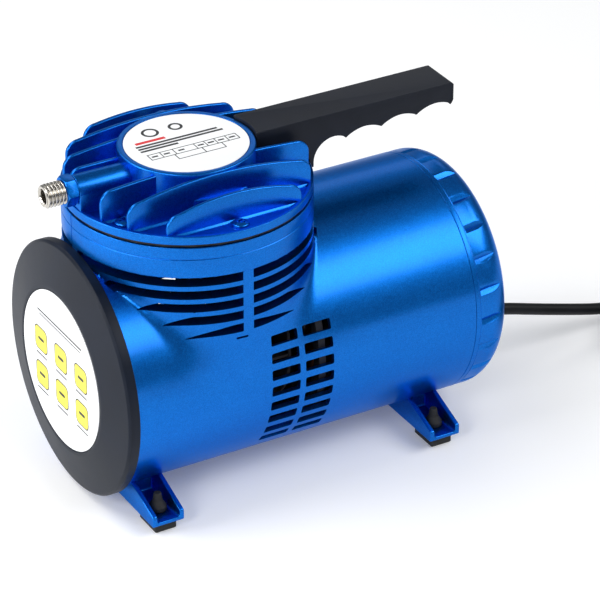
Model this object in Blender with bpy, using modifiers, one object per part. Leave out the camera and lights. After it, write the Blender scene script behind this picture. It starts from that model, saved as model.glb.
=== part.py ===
"""Airbrush compressor: an oil-free diaphragm pump driven by a mains motor in a round cast housing.

Metres, +Z up. The motor axis runs along Y, the black end cover faces -Y, the rear cap and the
mains lead face +Y. The origin is on the floor under the middle of the machine.
"""
import math

import bmesh
import bpy
from mathutils import Matrix, Vector

MM = 0.001

# Driving dimensions
BODY_R = 67.5 * MM            # outside of the motor housing
WALL = 3.0 * MM               # wall of the castings
AXIS_Z = 74.5 * MM            # motor axis above the floor
HEAD_Y = -41.1 * MM           # axis of the pump head, which is also the crank plane
HEAD_R = 66.75 * MM           # outside of the pump head
COVER_FACE_Y = -118.5 * MM    # face of the black end cover
COVER_RIM_Y = -113.9 * MM     # front of its rim, behind the raised middle
COVER_LIP_Y = -107.5 * MM     # end of the lip round the motor tube
COVER_R = 70.5 * MM
BODY_FRONT_Y = -111.7 * MM
CAP_JOIN_Y = 98.9 * MM        # where the rear cap meets the housing
CAP_END_Y = 123.2 * MM
OUTLET_TIP_Y = -125.0 * MM    # end of the outlet thread
THROW = 2.5 * MM              # crank throw, half the stroke
GAP = 0.3 * MM                # clearance between neighbouring pieces
FINE = 40                     # sides of a large circle that shows
INNER = 28                    # sides of a large circle inside the housing
MID = 24
SMALL = 10

# Heights in the pump head
BAND_BOTTOM = AXIS_Z + 72.0 * MM
BAND_TOP = AXIS_Z + 89.6 * MM
MEMBRANE_T = 1.2 * MM
FLANGE_BOTTOM = BAND_TOP + MEMBRANE_T + 2 * GAP
PLATE_TOP = AXIS_Z + 94.3 * MM
RIM_TOP = AXIS_Z + 96.1 * MM
PLATEAU_R = 40.5 * MM
PLATEAU_TOP = AXIS_Z + 103.2 * MM
BOSS_R = 36.6 * MM
BOSS_TOP = AXIS_Z + 116.2 * MM
LABEL_R = 33.1 * MM
HANDLE_TOP = AXIS_Z + 118.0 * MM
OUTLET_Z = AXIS_Z + 106.0 * MM
HUB_Z = BAND_TOP + GAP + 1.0 * MM     # underside of the membrane at its hub
VALVE_Z = AXIS_Z + 97.0 * MM          # underside of the valve plate
PORT_STEP_Z = AXIS_Z + 100.9 * MM     # roof of the pump chamber

# Other positions
HEAD_SCREW_R = 58.3 * MM
# Each fin: its place, the height of its crest, how fast the crest falls, and where a short fin stops
FINS = ((51.5 * MM, AXIS_Z + 110.4 * MM, 4.2, None), (36.1 * MM, AXIS_Z + 115.0 * MM, 2.4, None),
        (20.7 * MM, AXIS_Z + 114.6 * MM, 0.8, None), (-10.1 * MM, AXIS_Z + 112.2 * MM, 0.05, -31 * MM),
        (-25.5 * MM, AXIS_Z + 115.0 * MM, 1.3, None), (-40.9 * MM, AXIS_Z + 114.3 * MM, 2.0, None),
        (-56.3 * MM, AXIS_Z + 110.8 * MM, 3.4, None))
HEAD_SCREW_ANGLES = (0, 62, 146.5, 213.5, 298)
HANDLE_SCREW_REACH = (45.4 * MM, 57.4 * MM)   # from the head axis
SLOT_PITCH = 7.6 * MM
SLOT_HEIGHT = 5.0 * MM
SLOT_COUNT = 5
LEG_WIDTH = 18.5 * MM
LEG_CENTRES = {"front": -90.25 * MM, "rear": 81.3 * MM}
FOOT_X = 53.6 * MM
FLOOR_GAP = 6.0 * MM                  # underside of the legs above the floor
FRONT_BEARING_Y = HEAD_Y + 42.6 * MM  # front face of the front bearing
REAR_BEARING_Y = HEAD_Y + 114.6 * MM
SHAFT_R = 4.0 * MM
CAP_SCREW_R = 40.0 * MM
BOLT_R = 48.0 * MM                    # distance of the stator bolts from the motor axis
SWITCH_Z = AXIS_Z + 37.0 * MM
SWITCH_PIVOT_Y = CAP_END_Y - 2.3 * MM
OFF_TILT = 8.0                        # degrees that the rocker leans when it is off

# Mains lead
CORD_D = 6.8 * MM
CORD_Z = AXIS_Z - 41.2 * MM
RELIEF_END_Y = CAP_END_Y + 30.0 * MM
COIL_CENTRE = Vector((46.0 * MM, 275.0 * MM, 0))
COIL_INNER_R = 29.0 * MM
COIL_OUTER_R = 48.5 * MM
COIL_HEIGHT = 19.4 * MM

PARTS = "airbrush_compressor"
CUTTERS = "cutters"


# ---------------------------------------------------------------- general tools

def clear_scene():
    """Empties the scene and makes the two collections."""
    for obj in list(bpy.data.objects):
        bpy.data.objects.remove(obj)
    for name in (PARTS, CUTTERS):
        collection = bpy.data.collections.new(name)
        bpy.context.scene.collection.children.link(collection)


def add_mesh(name, mesh, matrix=Matrix(), smooth=True):
    """Puts a mesh in the parts collection as an object."""
    obj = bpy.data.objects.new(name, mesh)
    obj.matrix_world = matrix
    bpy.data.collections[PARTS].objects.link(obj)
    if smooth:
        mesh.shade_smooth()
        mesh.set_sharp_from_angle(angle=math.radians(35))
    return obj


def make_cutter(obj):
    """Moves an object to the cutters collection and leaves it out of the model."""
    bpy.data.collections[PARTS].objects.unlink(obj)
    bpy.data.collections[CUTTERS].objects.link(obj)
    obj.hide_render = True
    obj.display_type = "WIRE"
    return obj


def boolean(target, other, operation="DIFFERENCE"):
    """Cuts or joins target with other, which becomes a cutter."""
    if other.name in bpy.data.collections[PARTS].objects:
        make_cutter(other)
    modifier = target.modifiers.new(operation.lower(), "BOOLEAN")
    modifier.operation = operation
    modifier.object = other
    modifier.solver = "EXACT"
    return target


def bevel(obj, width, segments=2, angle=40):
    """Rounds the sharp edges of an object."""
    modifier = obj.modifiers.new("bevel", "BEVEL")
    modifier.width = width
    modifier.segments = segments
    modifier.limit_method = "ANGLE"
    modifier.angle_limit = math.radians(angle)
    return obj


def paint(obj, colour, roughness, metallic=0.0):
    """Gives an object a material of its own."""
    material = bpy.data.materials.new(obj.name)
    material.use_nodes = True
    shader = material.node_tree.nodes["Principled BSDF"]
    shader.inputs["Base Color"].default_value = (*colour, 1.0)
    shader.inputs["Roughness"].default_value = roughness
    shader.inputs["Metallic"].default_value = metallic
    obj.data.materials.append(material)
    return obj


def downward(outline):
    """Orders an outline so that it runs down its outer side, as the Screw modifier needs."""
    following = outline[1:] + outline[:1]
    area = sum(a[0] * b[1] - b[0] * a[1] for a, b in zip(outline, following))
    return outline if area < 0 else outline[::-1]


def turned(name, outline, matrix, steps=FINE, ring=False):
    """A solid of revolution about the matrix's Z axis, from (radius, height) pairs."""
    points = downward(list(outline))
    edges = [(i, i + 1) for i in range(len(points) - 1)]
    if ring:
        edges.append((len(points) - 1, 0))
    mesh = bpy.data.meshes.new(name)
    mesh.from_pydata([(r, 0, h) for r, h in points], edges, [])
    obj = add_mesh(name, mesh, matrix, smooth=False)
    screw = obj.modifiers.new("turn", "SCREW")
    screw.steps = steps
    screw.render_steps = steps
    screw.use_merge_vertices = True
    screw.merge_threshold = 0.00001
    return obj


def about_motor(y=0.0, x=0.0, z=AXIS_Z):
    """A frame whose Z axis runs along world +Y, so that heights are world Y when y is 0."""
    return Matrix.Translation((x, y, z)) @ Matrix.Rotation(math.radians(-90), 4, "X")


def about_head(x=0.0, y=HEAD_Y):
    """A frame whose heights are world Z."""
    return Matrix.Translation((x, y, 0))


def rod(name, radius, low, high, matrix, sides=SMALL):
    """A plain round bar along the matrix's Z axis between two heights."""
    mesh = bpy.data.meshes.new(name)
    shape = bmesh.new()
    bmesh.ops.create_cone(shape, cap_ends=True, segments=sides, radius1=radius, radius2=radius,
                          depth=high - low, matrix=Matrix.Translation((0, 0, (low + high) / 2)))
    shape.to_mesh(mesh)
    shape.free()
    return add_mesh(name, mesh, matrix)


def boxes(name, corners, matrix=Matrix(), turns=(Matrix(),)):
    """One mesh of boxes, each given by its low and high corners and repeated for each turn."""
    mesh = bpy.data.meshes.new(name)
    shape = bmesh.new()
    for low, high in corners:
        low, high = Vector(low), Vector(high)
        size = Matrix.Diagonal((high - low).to_4d())
        size[3][3] = 1.0
        for turn in turns:
            bmesh.ops.create_cube(shape, matrix=turn @ Matrix.Translation((low + high) / 2) @ size)
    shape.to_mesh(mesh)
    shape.free()
    return add_mesh(name, mesh, matrix, smooth=False)


def plate(name, outline, thickness, matrix):
    """A flat outline with a thickness, centred on the matrix's XY plane."""
    curve = bpy.data.curves.new(name, "CURVE")
    curve.dimensions = "2D"
    curve.fill_mode = "BOTH"
    curve.extrude = thickness / 2
    spline = curve.splines.new("POLY")
    spline.points.add(len(outline) - 1)
    for point, (x, y) in zip(spline.points, outline):
        point.co = (x, y, 0, 1)
    spline.use_cyclic_u = True
    source = bpy.data.objects.new(name + "_outline", curve)
    bpy.data.collections[PARTS].objects.link(source)
    source.matrix_world = matrix
    return mesh_of_curve(name, source)


def mesh_of_curve(name, source):
    """Turns a curve object into a welded mesh object in the same place."""
    bpy.context.view_layer.update()
    evaluated = source.evaluated_get(bpy.context.evaluated_depsgraph_get())
    mesh = bpy.data.meshes.new_from_object(evaluated)
    shape = bmesh.new()
    shape.from_mesh(mesh)
    bmesh.ops.remove_doubles(shape, verts=shape.verts, dist=0.000005)
    bmesh.ops.recalc_face_normals(shape, faces=shape.faces)
    shape.to_mesh(mesh)
    shape.free()
    obj = add_mesh(name, mesh, source.matrix_world.copy())
    bpy.data.objects.remove(source)
    return obj


def facing_x(x=0.0, y=0.0, z=0.0):
    """A frame whose X is world Y and whose Y is world Z, so outlines are drawn from the side."""
    return Matrix(((0, 0, 1, x), (1, 0, 0, y), (0, 1, 0, z), (0, 0, 0, 1)))


def facing_y(y=0.0):
    """A frame whose X is world X and whose Y is world Z, so outlines are drawn from the front."""
    return Matrix(((1, 0, 0, 0), (0, 0, -1, y), (0, 1, 0, 0), (0, 0, 0, 1)))


def arc(centre, radius, start, end, count):
    """Points along an arc, with angles in degrees from the first axis."""
    angles = [math.radians(start + (end - start) * i / count) for i in range(count + 1)]
    return [(centre[0] + radius * math.cos(a), centre[1] + radius * math.sin(a)) for a in angles]


def on_circle(radius, angle):
    """Sine and cosine of an angle in degrees, times a radius."""
    return radius * math.cos(math.radians(angle)), radius * math.sin(math.radians(angle))


# ---------------------------------------------------------------- housing

def leg(name, centre_y):
    """A saddle under the housing that ends in a channel-shaped leg on each side."""
    bottom, reach = FLOOR_GAP, 66.3 * MM
    shoulder, root = AXIS_Z - 62.0 * MM, AXIS_Z - 48.0 * MM
    outline = [(-reach, bottom), (reach, bottom), (reach, shoulder), (28 * MM, root),
               (-28 * MM, root), (-reach, shoulder)]
    obj = plate(name, outline, LEG_WIDTH, facing_y(centre_y))
    inside = LEG_WIDTH / 2 - 2.6 * MM
    low = bottom + 2.5 * MM
    cuts = [((a, centre_y - inside, low), (b, centre_y + inside, AXIS_Z)) for a, b in
            ((-reach - 3 * MM, -34 * MM), (34 * MM, reach + 3 * MM))]
    boolean(obj, boxes(name + "_channel", cuts))
    for side in (-1, 1):
        hole = rod(name + "_hole", 4.3 * MM, 0, 2 * FLOOR_GAP,
                   Matrix.Translation((side * FOOT_X, centre_y, 0)))
        boolean(obj, hole)
    return obj


def barrel():
    """The upright barrel under the pump head: rings with gaps between them, tied by two ribs."""
    low = AXIS_Z + 6 * MM
    outline = [(0, BAND_TOP), (HEAD_R, BAND_TOP)]
    for row in range(SLOT_COUNT):
        top = BAND_BOTTOM - row * SLOT_PITCH
        outline += [(HEAD_R, top), (57 * MM, top), (57 * MM, top - SLOT_HEIGHT), (HEAD_R, top - SLOT_HEIGHT)]
    outline += [(HEAD_R, low), (0, low)]
    offset = Matrix.Rotation(math.radians(1.3), 4, "Z")
    solid = turned("barrel", outline, about_head() @ offset)
    rib_top, rib_bottom = BAND_BOTTOM + 1.5 * MM, BAND_BOTTOM - 36.5 * MM
    ribs = [((-66.4 * MM, HEAD_Y - 3.2 * MM, rib_bottom), (-54 * MM, HEAD_Y + 2.8 * MM, rib_top)),
            ((54 * MM, HEAD_Y - 3.2 * MM, rib_bottom), (66.4 * MM, HEAD_Y + 2.8 * MM, rib_top))]
    return boolean(solid, boxes("slot_ribs", ribs), "UNION")


def vent_grid():
    """Two columns of eight openings on each side of the housing."""
    turns = [Matrix.Rotation(math.radians(-20.8 + 8.45 * row), 4, "Y") for row in range(8)]
    columns = ((-27.7 * MM, -10.7 * MM), (-7.4 * MM, 9.8 * MM))
    corners = [((-74 * MM, low, -3.0 * MM), (-58 * MM, high, 3.0 * MM))
               for low, high in columns]
    grid = boxes("vent_left", corners, Matrix.Translation((0, 0, AXIS_Z)),
                 [turn.inverted() for turn in turns])
    right = boxes("vent_right", [((-b[0], a[1], a[2]), (-a[0], b[1], b[2])) for a, b in corners],
                  Matrix.Translation((0, 0, AXIS_Z)), turns)
    return grid, right


def body_housing():
    """The cast housing: motor tube, slotted barrel, clamping band, legs and air openings."""
    body = turned("body_housing", [(0, BODY_FRONT_Y), (BODY_R, BODY_FRONT_Y), (BODY_R, CAP_JOIN_Y),
                                   (0, CAP_JOIN_Y)], about_motor())
    for end, centre_y in LEG_CENTRES.items():
        boolean(body, leg("leg_" + end, centre_y), "UNION")
    boolean(body, barrel(), "UNION")
    boolean(body, rod("motor_space", BODY_R - WALL, -0.2, 0.2, about_motor(), FINE))
    crankcase = [(0, BAND_TOP + 3 * MM), (52 * MM, BAND_TOP + 3 * MM), (52 * MM, BAND_BOTTOM + 4 * MM),
                 (60 * MM, BAND_BOTTOM + 0.8 * MM), (60 * MM, AXIS_Z + 12 * MM), (0, AXIS_Z + 12 * MM)]
    boolean(body, turned("crankcase_space", crankcase, about_head(), 36))
    for grid in vent_grid():
        boolean(body, grid)
    for number, angle in enumerate(HEAD_SCREW_ANGLES):
        x, y = on_circle(HEAD_SCREW_R, angle)
        boolean(body, rod(f"band_hole_{number}", 2.3 * MM, BAND_TOP - 12 * MM, BAND_TOP + 1 * MM,
                          about_head(x, HEAD_Y + y), 12))
    return paint(body, (0.01, 0.16, 0.62), 0.3, 0.6)


def front_cover():
    """The black moulded cap that closes the pump end: a raised middle, a sloping face and a lip."""
    face, front = COVER_FACE_Y, BODY_FRONT_Y - GAP
    inner = BODY_R - WALL - GAP
    lip = BODY_R + GAP
    outline = [(0, face + 0.5 * MM), (LABEL_R * 1.35, face + 0.5 * MM), (LABEL_R * 1.35 + 0.3 * MM, face),
               (47 * MM, face), (COVER_R - 1.2 * MM, COVER_RIM_Y), (COVER_R, COVER_RIM_Y + 1.2 * MM),
               (COVER_R, COVER_LIP_Y), (lip, COVER_LIP_Y), (lip, front), (inner, front),
               (inner, front + 7 * MM), (inner - 2.5 * MM, front + 7 * MM),
               (inner - 2.5 * MM, front - 0.2 * MM), (47 * MM, face + 3.2 * MM), (0, face + 3.2 * MM)]
    return paint(turned("front_cover", outline, about_motor()), (0.02, 0.022, 0.028), 0.5)


def label(name, radius, matrix, low, high):
    """A thin printed disc."""
    return paint(rod(name, radius, low, high, matrix, FINE), (0.86, 0.87, 0.88), 0.35)


def rear_cap():
    """The cast end cap: grip notches round its edge, air slots, lead hole and switch opening."""
    rounding = 15 * MM
    centre = (BODY_R - rounding, CAP_END_Y - rounding)
    inner = BODY_R - WALL - GAP
    outline = [(0, CAP_END_Y)] + arc(centre, rounding, 90, 0, 5)
    outline += [(BODY_R, CAP_JOIN_Y + GAP), (inner, CAP_JOIN_Y + GAP), (inner, CAP_JOIN_Y - 6 * MM),
                (inner - 2.5 * MM, CAP_JOIN_Y - 6 * MM), (inner - 2.5 * MM, CAP_JOIN_Y + 2 * MM),
                (inner, CAP_JOIN_Y + 4 * MM)]
    outline += arc(centre, rounding - 2.6 * MM, 0, 90, 2) + [(0, CAP_END_Y - 2.6 * MM)]
    cap = turned("rear_cap", outline, about_motor())
    notch_turns = [Matrix.Rotation(math.radians(15 * i), 4, "Y") for i in range(24)]
    tilt = Matrix.Rotation(math.radians(7), 4, "Z")
    low = (BODY_R - 0.9 * MM, CAP_JOIN_Y + 12.5 * MM - 10 * MM, -2.0 * MM)
    high = (BODY_R + 6 * MM, CAP_END_Y + 6 * MM, 2.0 * MM)
    pivot = Matrix.Translation((BODY_R, CAP_JOIN_Y + 3.5 * MM, 0))
    turns = [turn @ pivot @ tilt @ pivot.inverted() for turn in notch_turns]
    boolean(cap, boxes("cap_notches", [(low, high)], Matrix.Translation((0, 0, AXIS_Z)), turns))
    slot = ((10 * MM, CAP_END_Y - 9 * MM, -1.6 * MM), (27 * MM, CAP_END_Y + 2 * MM, 1.6 * MM))
    turns = [Matrix.Rotation(math.radians(30 * i), 4, "Y") for i in range(12)]
    boolean(cap, boxes("cap_slots", [slot], Matrix.Translation((0, 0, AXIS_Z)), turns))
    slot = ((33 * MM, CAP_END_Y - 9 * MM, -1.6 * MM), (48 * MM, CAP_END_Y + 2 * MM, 1.6 * MM))
    turns = [Matrix.Rotation(math.radians(a + b), 4, "Y") for a in (0, 180) for b in (-24, -12, 0, 12, 24)]
    boolean(cap, boxes("cap_side_slots", [slot], Matrix.Translation((0, 0, AXIS_Z)), turns))
    for angle in (45, 135, 225, 315):
        x, z = on_circle(CAP_SCREW_R, angle)
        boolean(cap, rod("cap_screw_hole", 2.2 * MM, CAP_END_Y - 6 * MM, CAP_END_Y + 3 * MM,
                         about_motor(0, x, AXIS_Z + z), 12))
    boolean(cap, rod("lead_hole", 6.0 * MM, CAP_END_Y - 6 * MM, CAP_END_Y + 3 * MM,
                     about_motor(0, 0, CORD_Z)))
    boolean(cap, boxes("switch_hole", [((-7.4 * MM, CAP_END_Y - 6 * MM, SWITCH_Z - 10.2 * MM),
                                        (7.4 * MM, CAP_END_Y + 3 * MM, SWITCH_Z + 10.2 * MM))]))
    return paint(cap, (0.01, 0.16, 0.62), 0.3, 0.6)


def foot(name, x, y):
    """A rubber foot, held by a pull-through stem with a barbed end."""
    neck, head = 3.9 * MM, 5.4 * MM
    floor_top = FLOOR_GAP + 2.5 * MM + GAP
    stem = [(0, 19 * MM), (2.0 * MM, 19 * MM), (head, floor_top + 2.6 * MM), (head, floor_top),
            (neck, floor_top), (neck, 2 * MM), (0, 2 * MM)]
    pad = boxes(name, [((x - 9.2 * MM, y - 6.4 * MM, 0), (x + 9.2 * MM, y + 6.4 * MM, FLOOR_GAP - GAP))])
    boolean(pad, turned(name + "_stem", stem, about_head(x, y), SMALL), "UNION")
    return paint(pad, (0.015, 0.015, 0.017), 0.75)


# ---------------------------------------------------------------- pump head

def fin_outline(x, top, fall, stop=None):
    """The side view of a cooling fin: upright ends, rounded shoulders and a gently domed crest.
    A fin with a stop ends there instead of at the rear of the head."""
    half = math.sqrt((HEAD_R - 1.8 * MM) ** 2 - x ** 2)
    shoulder = 7 * MM
    reach = half - shoulder
    edge = top - fall * reach ** 2 - shoulder
    foot = PLATE_TOP - 1.2 * MM
    outline = [(-half, foot)] + arc((-reach, edge), shoulder, 180, 90, 3)
    if stop is not None:
        return outline + [(stop, top - fall * stop ** 2), (stop, foot)]
    outline += [(reach * t, top - fall * (reach * t) ** 2) for t in (-0.6, -0.2, 0.2, 0.6)]
    return outline + arc((reach, edge), shoulder, 90, 0, 3) + [(half, foot)]


def head_cover():
    """The finned casting over the diaphragm, with the round label boss and the outlet boss."""
    outline = [(0, BOSS_TOP - 0.7 * MM), (LABEL_R + 0.4 * MM, BOSS_TOP - 0.7 * MM),
               (LABEL_R + 0.4 * MM, BOSS_TOP), (BOSS_R - 0.7 * MM, BOSS_TOP), (BOSS_R, BOSS_TOP - 0.7 * MM),
               (BOSS_R, PLATEAU_TOP), (PLATEAU_R, PLATEAU_TOP), (PLATEAU_R, PLATE_TOP),
               (HEAD_R - 2.6 * MM, PLATE_TOP), (HEAD_R - 2.6 * MM, RIM_TOP), (HEAD_R, RIM_TOP),
               (HEAD_R, FLANGE_BOTTOM), (0, FLANGE_BOTTOM)]
    cover = turned("head_cover", outline, about_head())
    for x, top, fall, stop in FINS:
        fin = plate("fin", fin_outline(x, top, fall, stop), 2.4 * MM, facing_x(x, HEAD_Y))
        boolean(cover, fin, "UNION")
    boss_end = OUTLET_TIP_Y + 17.7 * MM
    boss_r = 7.4 * MM
    round_top = rod("outlet_boss", boss_r, boss_end, HEAD_Y - 20 * MM, about_motor(0, 0, OUTLET_Z), MID)
    boolean(cover, round_top, "UNION")
    block = boxes("outlet_web", [((-boss_r + 0.15 * MM, boss_end + 0.2 * MM, PLATE_TOP - 1 * MM),
                                  (boss_r - 0.15 * MM, HEAD_Y - 20 * MM, OUTLET_Z + 1 * MM))])
    boolean(cover, block, "UNION")
    intake = (AXIS_Z + 106.7 * MM, HEAD_Y + 8 * MM)
    along_x = Matrix.Translation((0, intake[1], intake[0])) @ Matrix.Rotation(math.radians(-90), 4, "Y")
    boolean(cover, rod("intake_boss", 6.6 * MM, 20 * MM, 45 * MM, along_x, SMALL), "UNION")
    boolean(cover, pump_chamber())
    boolean(cover, rod("intake_hole", 4.3 * MM, 28 * MM, 47 * MM, along_x, SMALL))
    boolean(cover, rod("outlet_hole", 3.6 * MM, boss_end - 2 * MM, HEAD_Y - 25 * MM,
                       about_motor(0, 0, OUTLET_Z), SMALL))
    boolean(cover, rod("outlet_socket", 5.4 * MM, boss_end - 2 * MM, boss_end + 8.3 * MM,
                       about_motor(0, 0, OUTLET_Z), SMALL))
    for angle in HEAD_SCREW_ANGLES:
        x, y = on_circle(HEAD_SCREW_R, angle)
        boolean(cover, rod("cover_hole", 2.3 * MM, FLANGE_BOTTOM - 2 * MM, RIM_TOP,
                           about_head(x, HEAD_Y + y), 12))
    for reach in HANDLE_SCREW_REACH:
        centre = about_head(0, HEAD_Y + reach)
        bore = [(0, RIM_TOP), (2.1 * MM, RIM_TOP), (2.1 * MM, FLANGE_BOTTOM + 1.9 * MM),
                (4.1 * MM, FLANGE_BOTTOM + 1.9 * MM), (4.1 * MM, FLANGE_BOTTOM - 1 * MM),
                (0, FLANGE_BOTTOM - 1 * MM)]
        boolean(cover, turned("handle_screw_bore", bore, centre, 12))
    return paint(cover, (0.01, 0.16, 0.62), 0.3, 0.6)


def pump_chamber():
    """The space under the cover: flexing room, valve seat and two air chambers with a wall between."""
    outline = [(0, BOSS_TOP - 3.7 * MM), (32.5 * MM, BOSS_TOP - 3.7 * MM), (32.5 * MM, PORT_STEP_Z),
               (38 * MM, PORT_STEP_Z), (38 * MM, FLANGE_BOTTOM + 1 * MM), (50 * MM, FLANGE_BOTTOM + 1 * MM),
               (50 * MM, FLANGE_BOTTOM - 2 * MM), (0, FLANGE_BOTTOM - 2 * MM)]
    space = turned("pump_chamber", outline, about_head(), 36)
    wall = boxes("chamber_wall", [((-40 * MM, HEAD_Y - 1 * MM, PORT_STEP_Z),
                                   (40 * MM, HEAD_Y + 1 * MM, BOSS_TOP))])
    return boolean(space, wall)


def outlet_fitting():
    """The outlet nipple: a pipe thread, a hexagon and a shank in the cover's boss."""
    hexagon_front, hexagon_back = OUTLET_TIP_Y + 11.2 * MM, OUTLET_TIP_Y + 17.4 * MM
    thread = [(0, OUTLET_TIP_Y), (5.8 * MM, OUTLET_TIP_Y), (6.5 * MM, OUTLET_TIP_Y + 0.9 * MM),
              (6.5 * MM, hexagon_front + 1 * MM), (5.0 * MM, hexagon_front + 1 * MM),
              (5.0 * MM, OUTLET_TIP_Y + 25.1 * MM), (0, OUTLET_TIP_Y + 25.1 * MM)]
    nipple = turned("outlet_fitting", thread, about_motor(0, 0, OUTLET_Z), 28)
    hexagon = rod("hexagon", 8.6 * MM, hexagon_front, hexagon_back, about_motor(0, 0, OUTLET_Z), 6)
    boolean(nipple, hexagon, "UNION")
    boolean(nipple, rod("nipple_bore", 3.9 * MM, OUTLET_TIP_Y - 2 * MM, OUTLET_TIP_Y + 30 * MM,
                        about_motor(0, 0, OUTLET_Z), 24))
    return paint(nipple, (0.72, 0.7, 0.66), 0.22, 1.0)


def screw(name, head_r, head_h, shank_r, length, matrix):
    """A pan-head screw whose seat is at the matrix's origin and whose head points along +Z."""
    outline = [(0, head_h), (head_r * 0.62, head_h), (head_r, head_h * 0.5), (head_r, GAP), (shank_r, GAP),
               (shank_r, -length), (0, -length)]
    return turned(name, outline, matrix, SMALL)


def head_screws():
    """Five screws that clamp the cover and the diaphragm to the band."""
    for number, angle in enumerate(HEAD_SCREW_ANGLES, 1):
        x, y = on_circle(HEAD_SCREW_R, angle)
        seat = about_head(x, HEAD_Y + y) @ Matrix.Translation((0, 0, PLATE_TOP))
        paint(screw(f"head_screw_{number}", 4.7 * MM, 3.0 * MM, 1.9 * MM, 14 * MM, seat),
              (0.02, 0.2, 0.65), 0.3, 0.6)


def diaphragm():
    """The rubber diaphragm: clamped at its edge, with a raised hub between the clamp plates."""
    low, hub = BAND_TOP + GAP, HUB_Z
    under = [(HEAD_R - 0.9 * MM, low), (48 * MM, low)]
    under += [((24 + 24 * (1 - s)) * MM, low + (hub - low) * (3 * s * s - 2 * s ** 3))
              for s in (0.33, 0.67, 1.0)]
    under += [(2.4 * MM, hub)]
    over = [(r, h + MEMBRANE_T) for r, h in reversed(under)]
    membrane = turned("diaphragm", under + over, about_head(), INNER, ring=True)
    for angle in HEAD_SCREW_ANGLES:
        x, y = on_circle(HEAD_SCREW_R, angle)
        boolean(membrane, rod("membrane_hole", 2.3 * MM, low - 3 * MM, low + 4 * MM,
                              about_head(x, HEAD_Y + y), 12))
    return paint(membrane, (0.02, 0.02, 0.022), 0.7)


def valves():
    """The valve plate, its gasket and the two spring-steel reeds."""
    top = VALVE_Z + 2.6 * MM
    plate_disc = turned("valve_plate", [(0, top), (37.6 * MM, top), (37.6 * MM, VALVE_Z), (0, VALVE_Z)],
                        about_head(), MID)
    for x, y in ((-4 * MM, -14 * MM), (-4 * MM, 14 * MM)):
        boolean(plate_disc, rod("port", 3 * MM, VALVE_Z - 2 * MM, top + 2 * MM,
                                about_head(x, HEAD_Y + y), 12))
    paint(plate_disc, (0.6, 0.6, 0.62), 0.35, 1.0)
    low = top + GAP
    ring = [(33 * MM, low + 0.7 * MM), (37.4 * MM, low + 0.7 * MM), (37.4 * MM, low), (33 * MM, low)]
    paint(turned("valve_gasket", ring, about_head(), MID, ring=True), (0.1, 0.1, 0.1), 0.8)
    for name, y, low in (("outlet_reed", -14 * MM, top + GAP), ("intake_reed", 14 * MM, VALVE_Z - 0.7 * MM)):
        start, end = HEAD_Y + y - 4.5 * MM, HEAD_Y + y + 4.5 * MM
        reed = boxes(name, [((-9 * MM, start, low), (11 * MM, end, low + 0.4 * MM))])
        paint(reed, (0.55, 0.57, 0.6), 0.25, 1.0)


def intake_filter():
    """A felt plug in the intake port on the far side of the head."""
    along_x = Matrix.Translation((0, HEAD_Y + 8 * MM, AXIS_Z + 106.7 * MM))
    along_x = along_x @ Matrix.Rotation(math.radians(-90), 4, "Y")
    felt = rod("intake_filter", 4.0 * MM, 36 * MM, 44.6 * MM, along_x, SMALL)
    return paint(felt, (0.75, 0.72, 0.64), 0.95)


# ---------------------------------------------------------------- crank and rod

def connecting_rod():
    """The rod: a ring round the crank bearing, a waisted shank and a flange under the diaphragm."""
    width = 9 * MM
    centre_z = AXIS_Z + THROW
    ring = [(17.8 * MM, HEAD_Y - width / 2), (22.6 * MM, HEAD_Y - width / 2),
            (22.6 * MM, HEAD_Y + width / 2), (17.8 * MM, HEAD_Y + width / 2)]
    link = turned("connecting_rod", ring, about_motor(0, 0, centre_z), MID, ring=True)
    top = HUB_Z - GAP
    shank = [(-11 * MM, centre_z + 20.2 * MM), (11 * MM, centre_z + 20.2 * MM), (6 * MM, centre_z + 34 * MM),
             (6 * MM, top - 14 * MM), (10 * MM, top - 1.5 * MM), (-10 * MM, top - 1.5 * MM),
             (-6 * MM, top - 14 * MM), (-6 * MM, centre_z + 34 * MM)]
    boolean(link, plate("rod_shank", shank, 8 * MM, facing_y(HEAD_Y)), "UNION")
    flange = [(0, top), (22 * MM, top), (22 * MM, top - 1.5 * MM), (15 * MM, top - 3.4 * MM),
              (0, top - 3.4 * MM)]
    boolean(link, turned("rod_flange", flange, about_head(), MID), "UNION")
    boolean(link, rod("rod_thread", 2.4 * MM, top - 12 * MM, top + 2 * MM, about_head(), 16))
    return paint(link, (0.62, 0.63, 0.65), 0.4, 1.0)


def diaphragm_clamp():
    """The clamp plate on top of the diaphragm and the countersunk screw through it."""
    low = HUB_Z + MEMBRANE_T + GAP
    top = low + 1.6 * MM
    washer = [(2.4 * MM, low), (22 * MM, low), (22 * MM, top - 0.5 * MM), (21.5 * MM, top), (5.6 * MM, top),
              (2.4 * MM, top - 1.1 * MM)]
    paint(turned("clamp_plate", washer, about_head(), MID, ring=True), (0.6, 0.61, 0.63), 0.35, 1.0)
    bolt = [(0, top), (4.6 * MM, top), (1.9 * MM, top - 0.9 * MM), (1.9 * MM, HUB_Z - 11 * MM),
            (0, HUB_Z - 11 * MM)]
    paint(turned("clamp_screw", bolt, about_head(), MID), (0.5, 0.5, 0.52), 0.3, 1.0)


def bearing(name, bore, outside, low, high, matrix, sides=MID):
    """A ball bearing drawn as one ring with dished faces."""
    mid = (bore + outside) / 2
    ring = [(bore, low), (mid, low + 0.6 * MM), (outside, low), (outside, high), (mid, high - 0.6 * MM),
            (bore, high)]
    return paint(turned(name, ring, matrix, sides, ring=True), (0.6, 0.6, 0.62), 0.25, 1.0)


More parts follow.
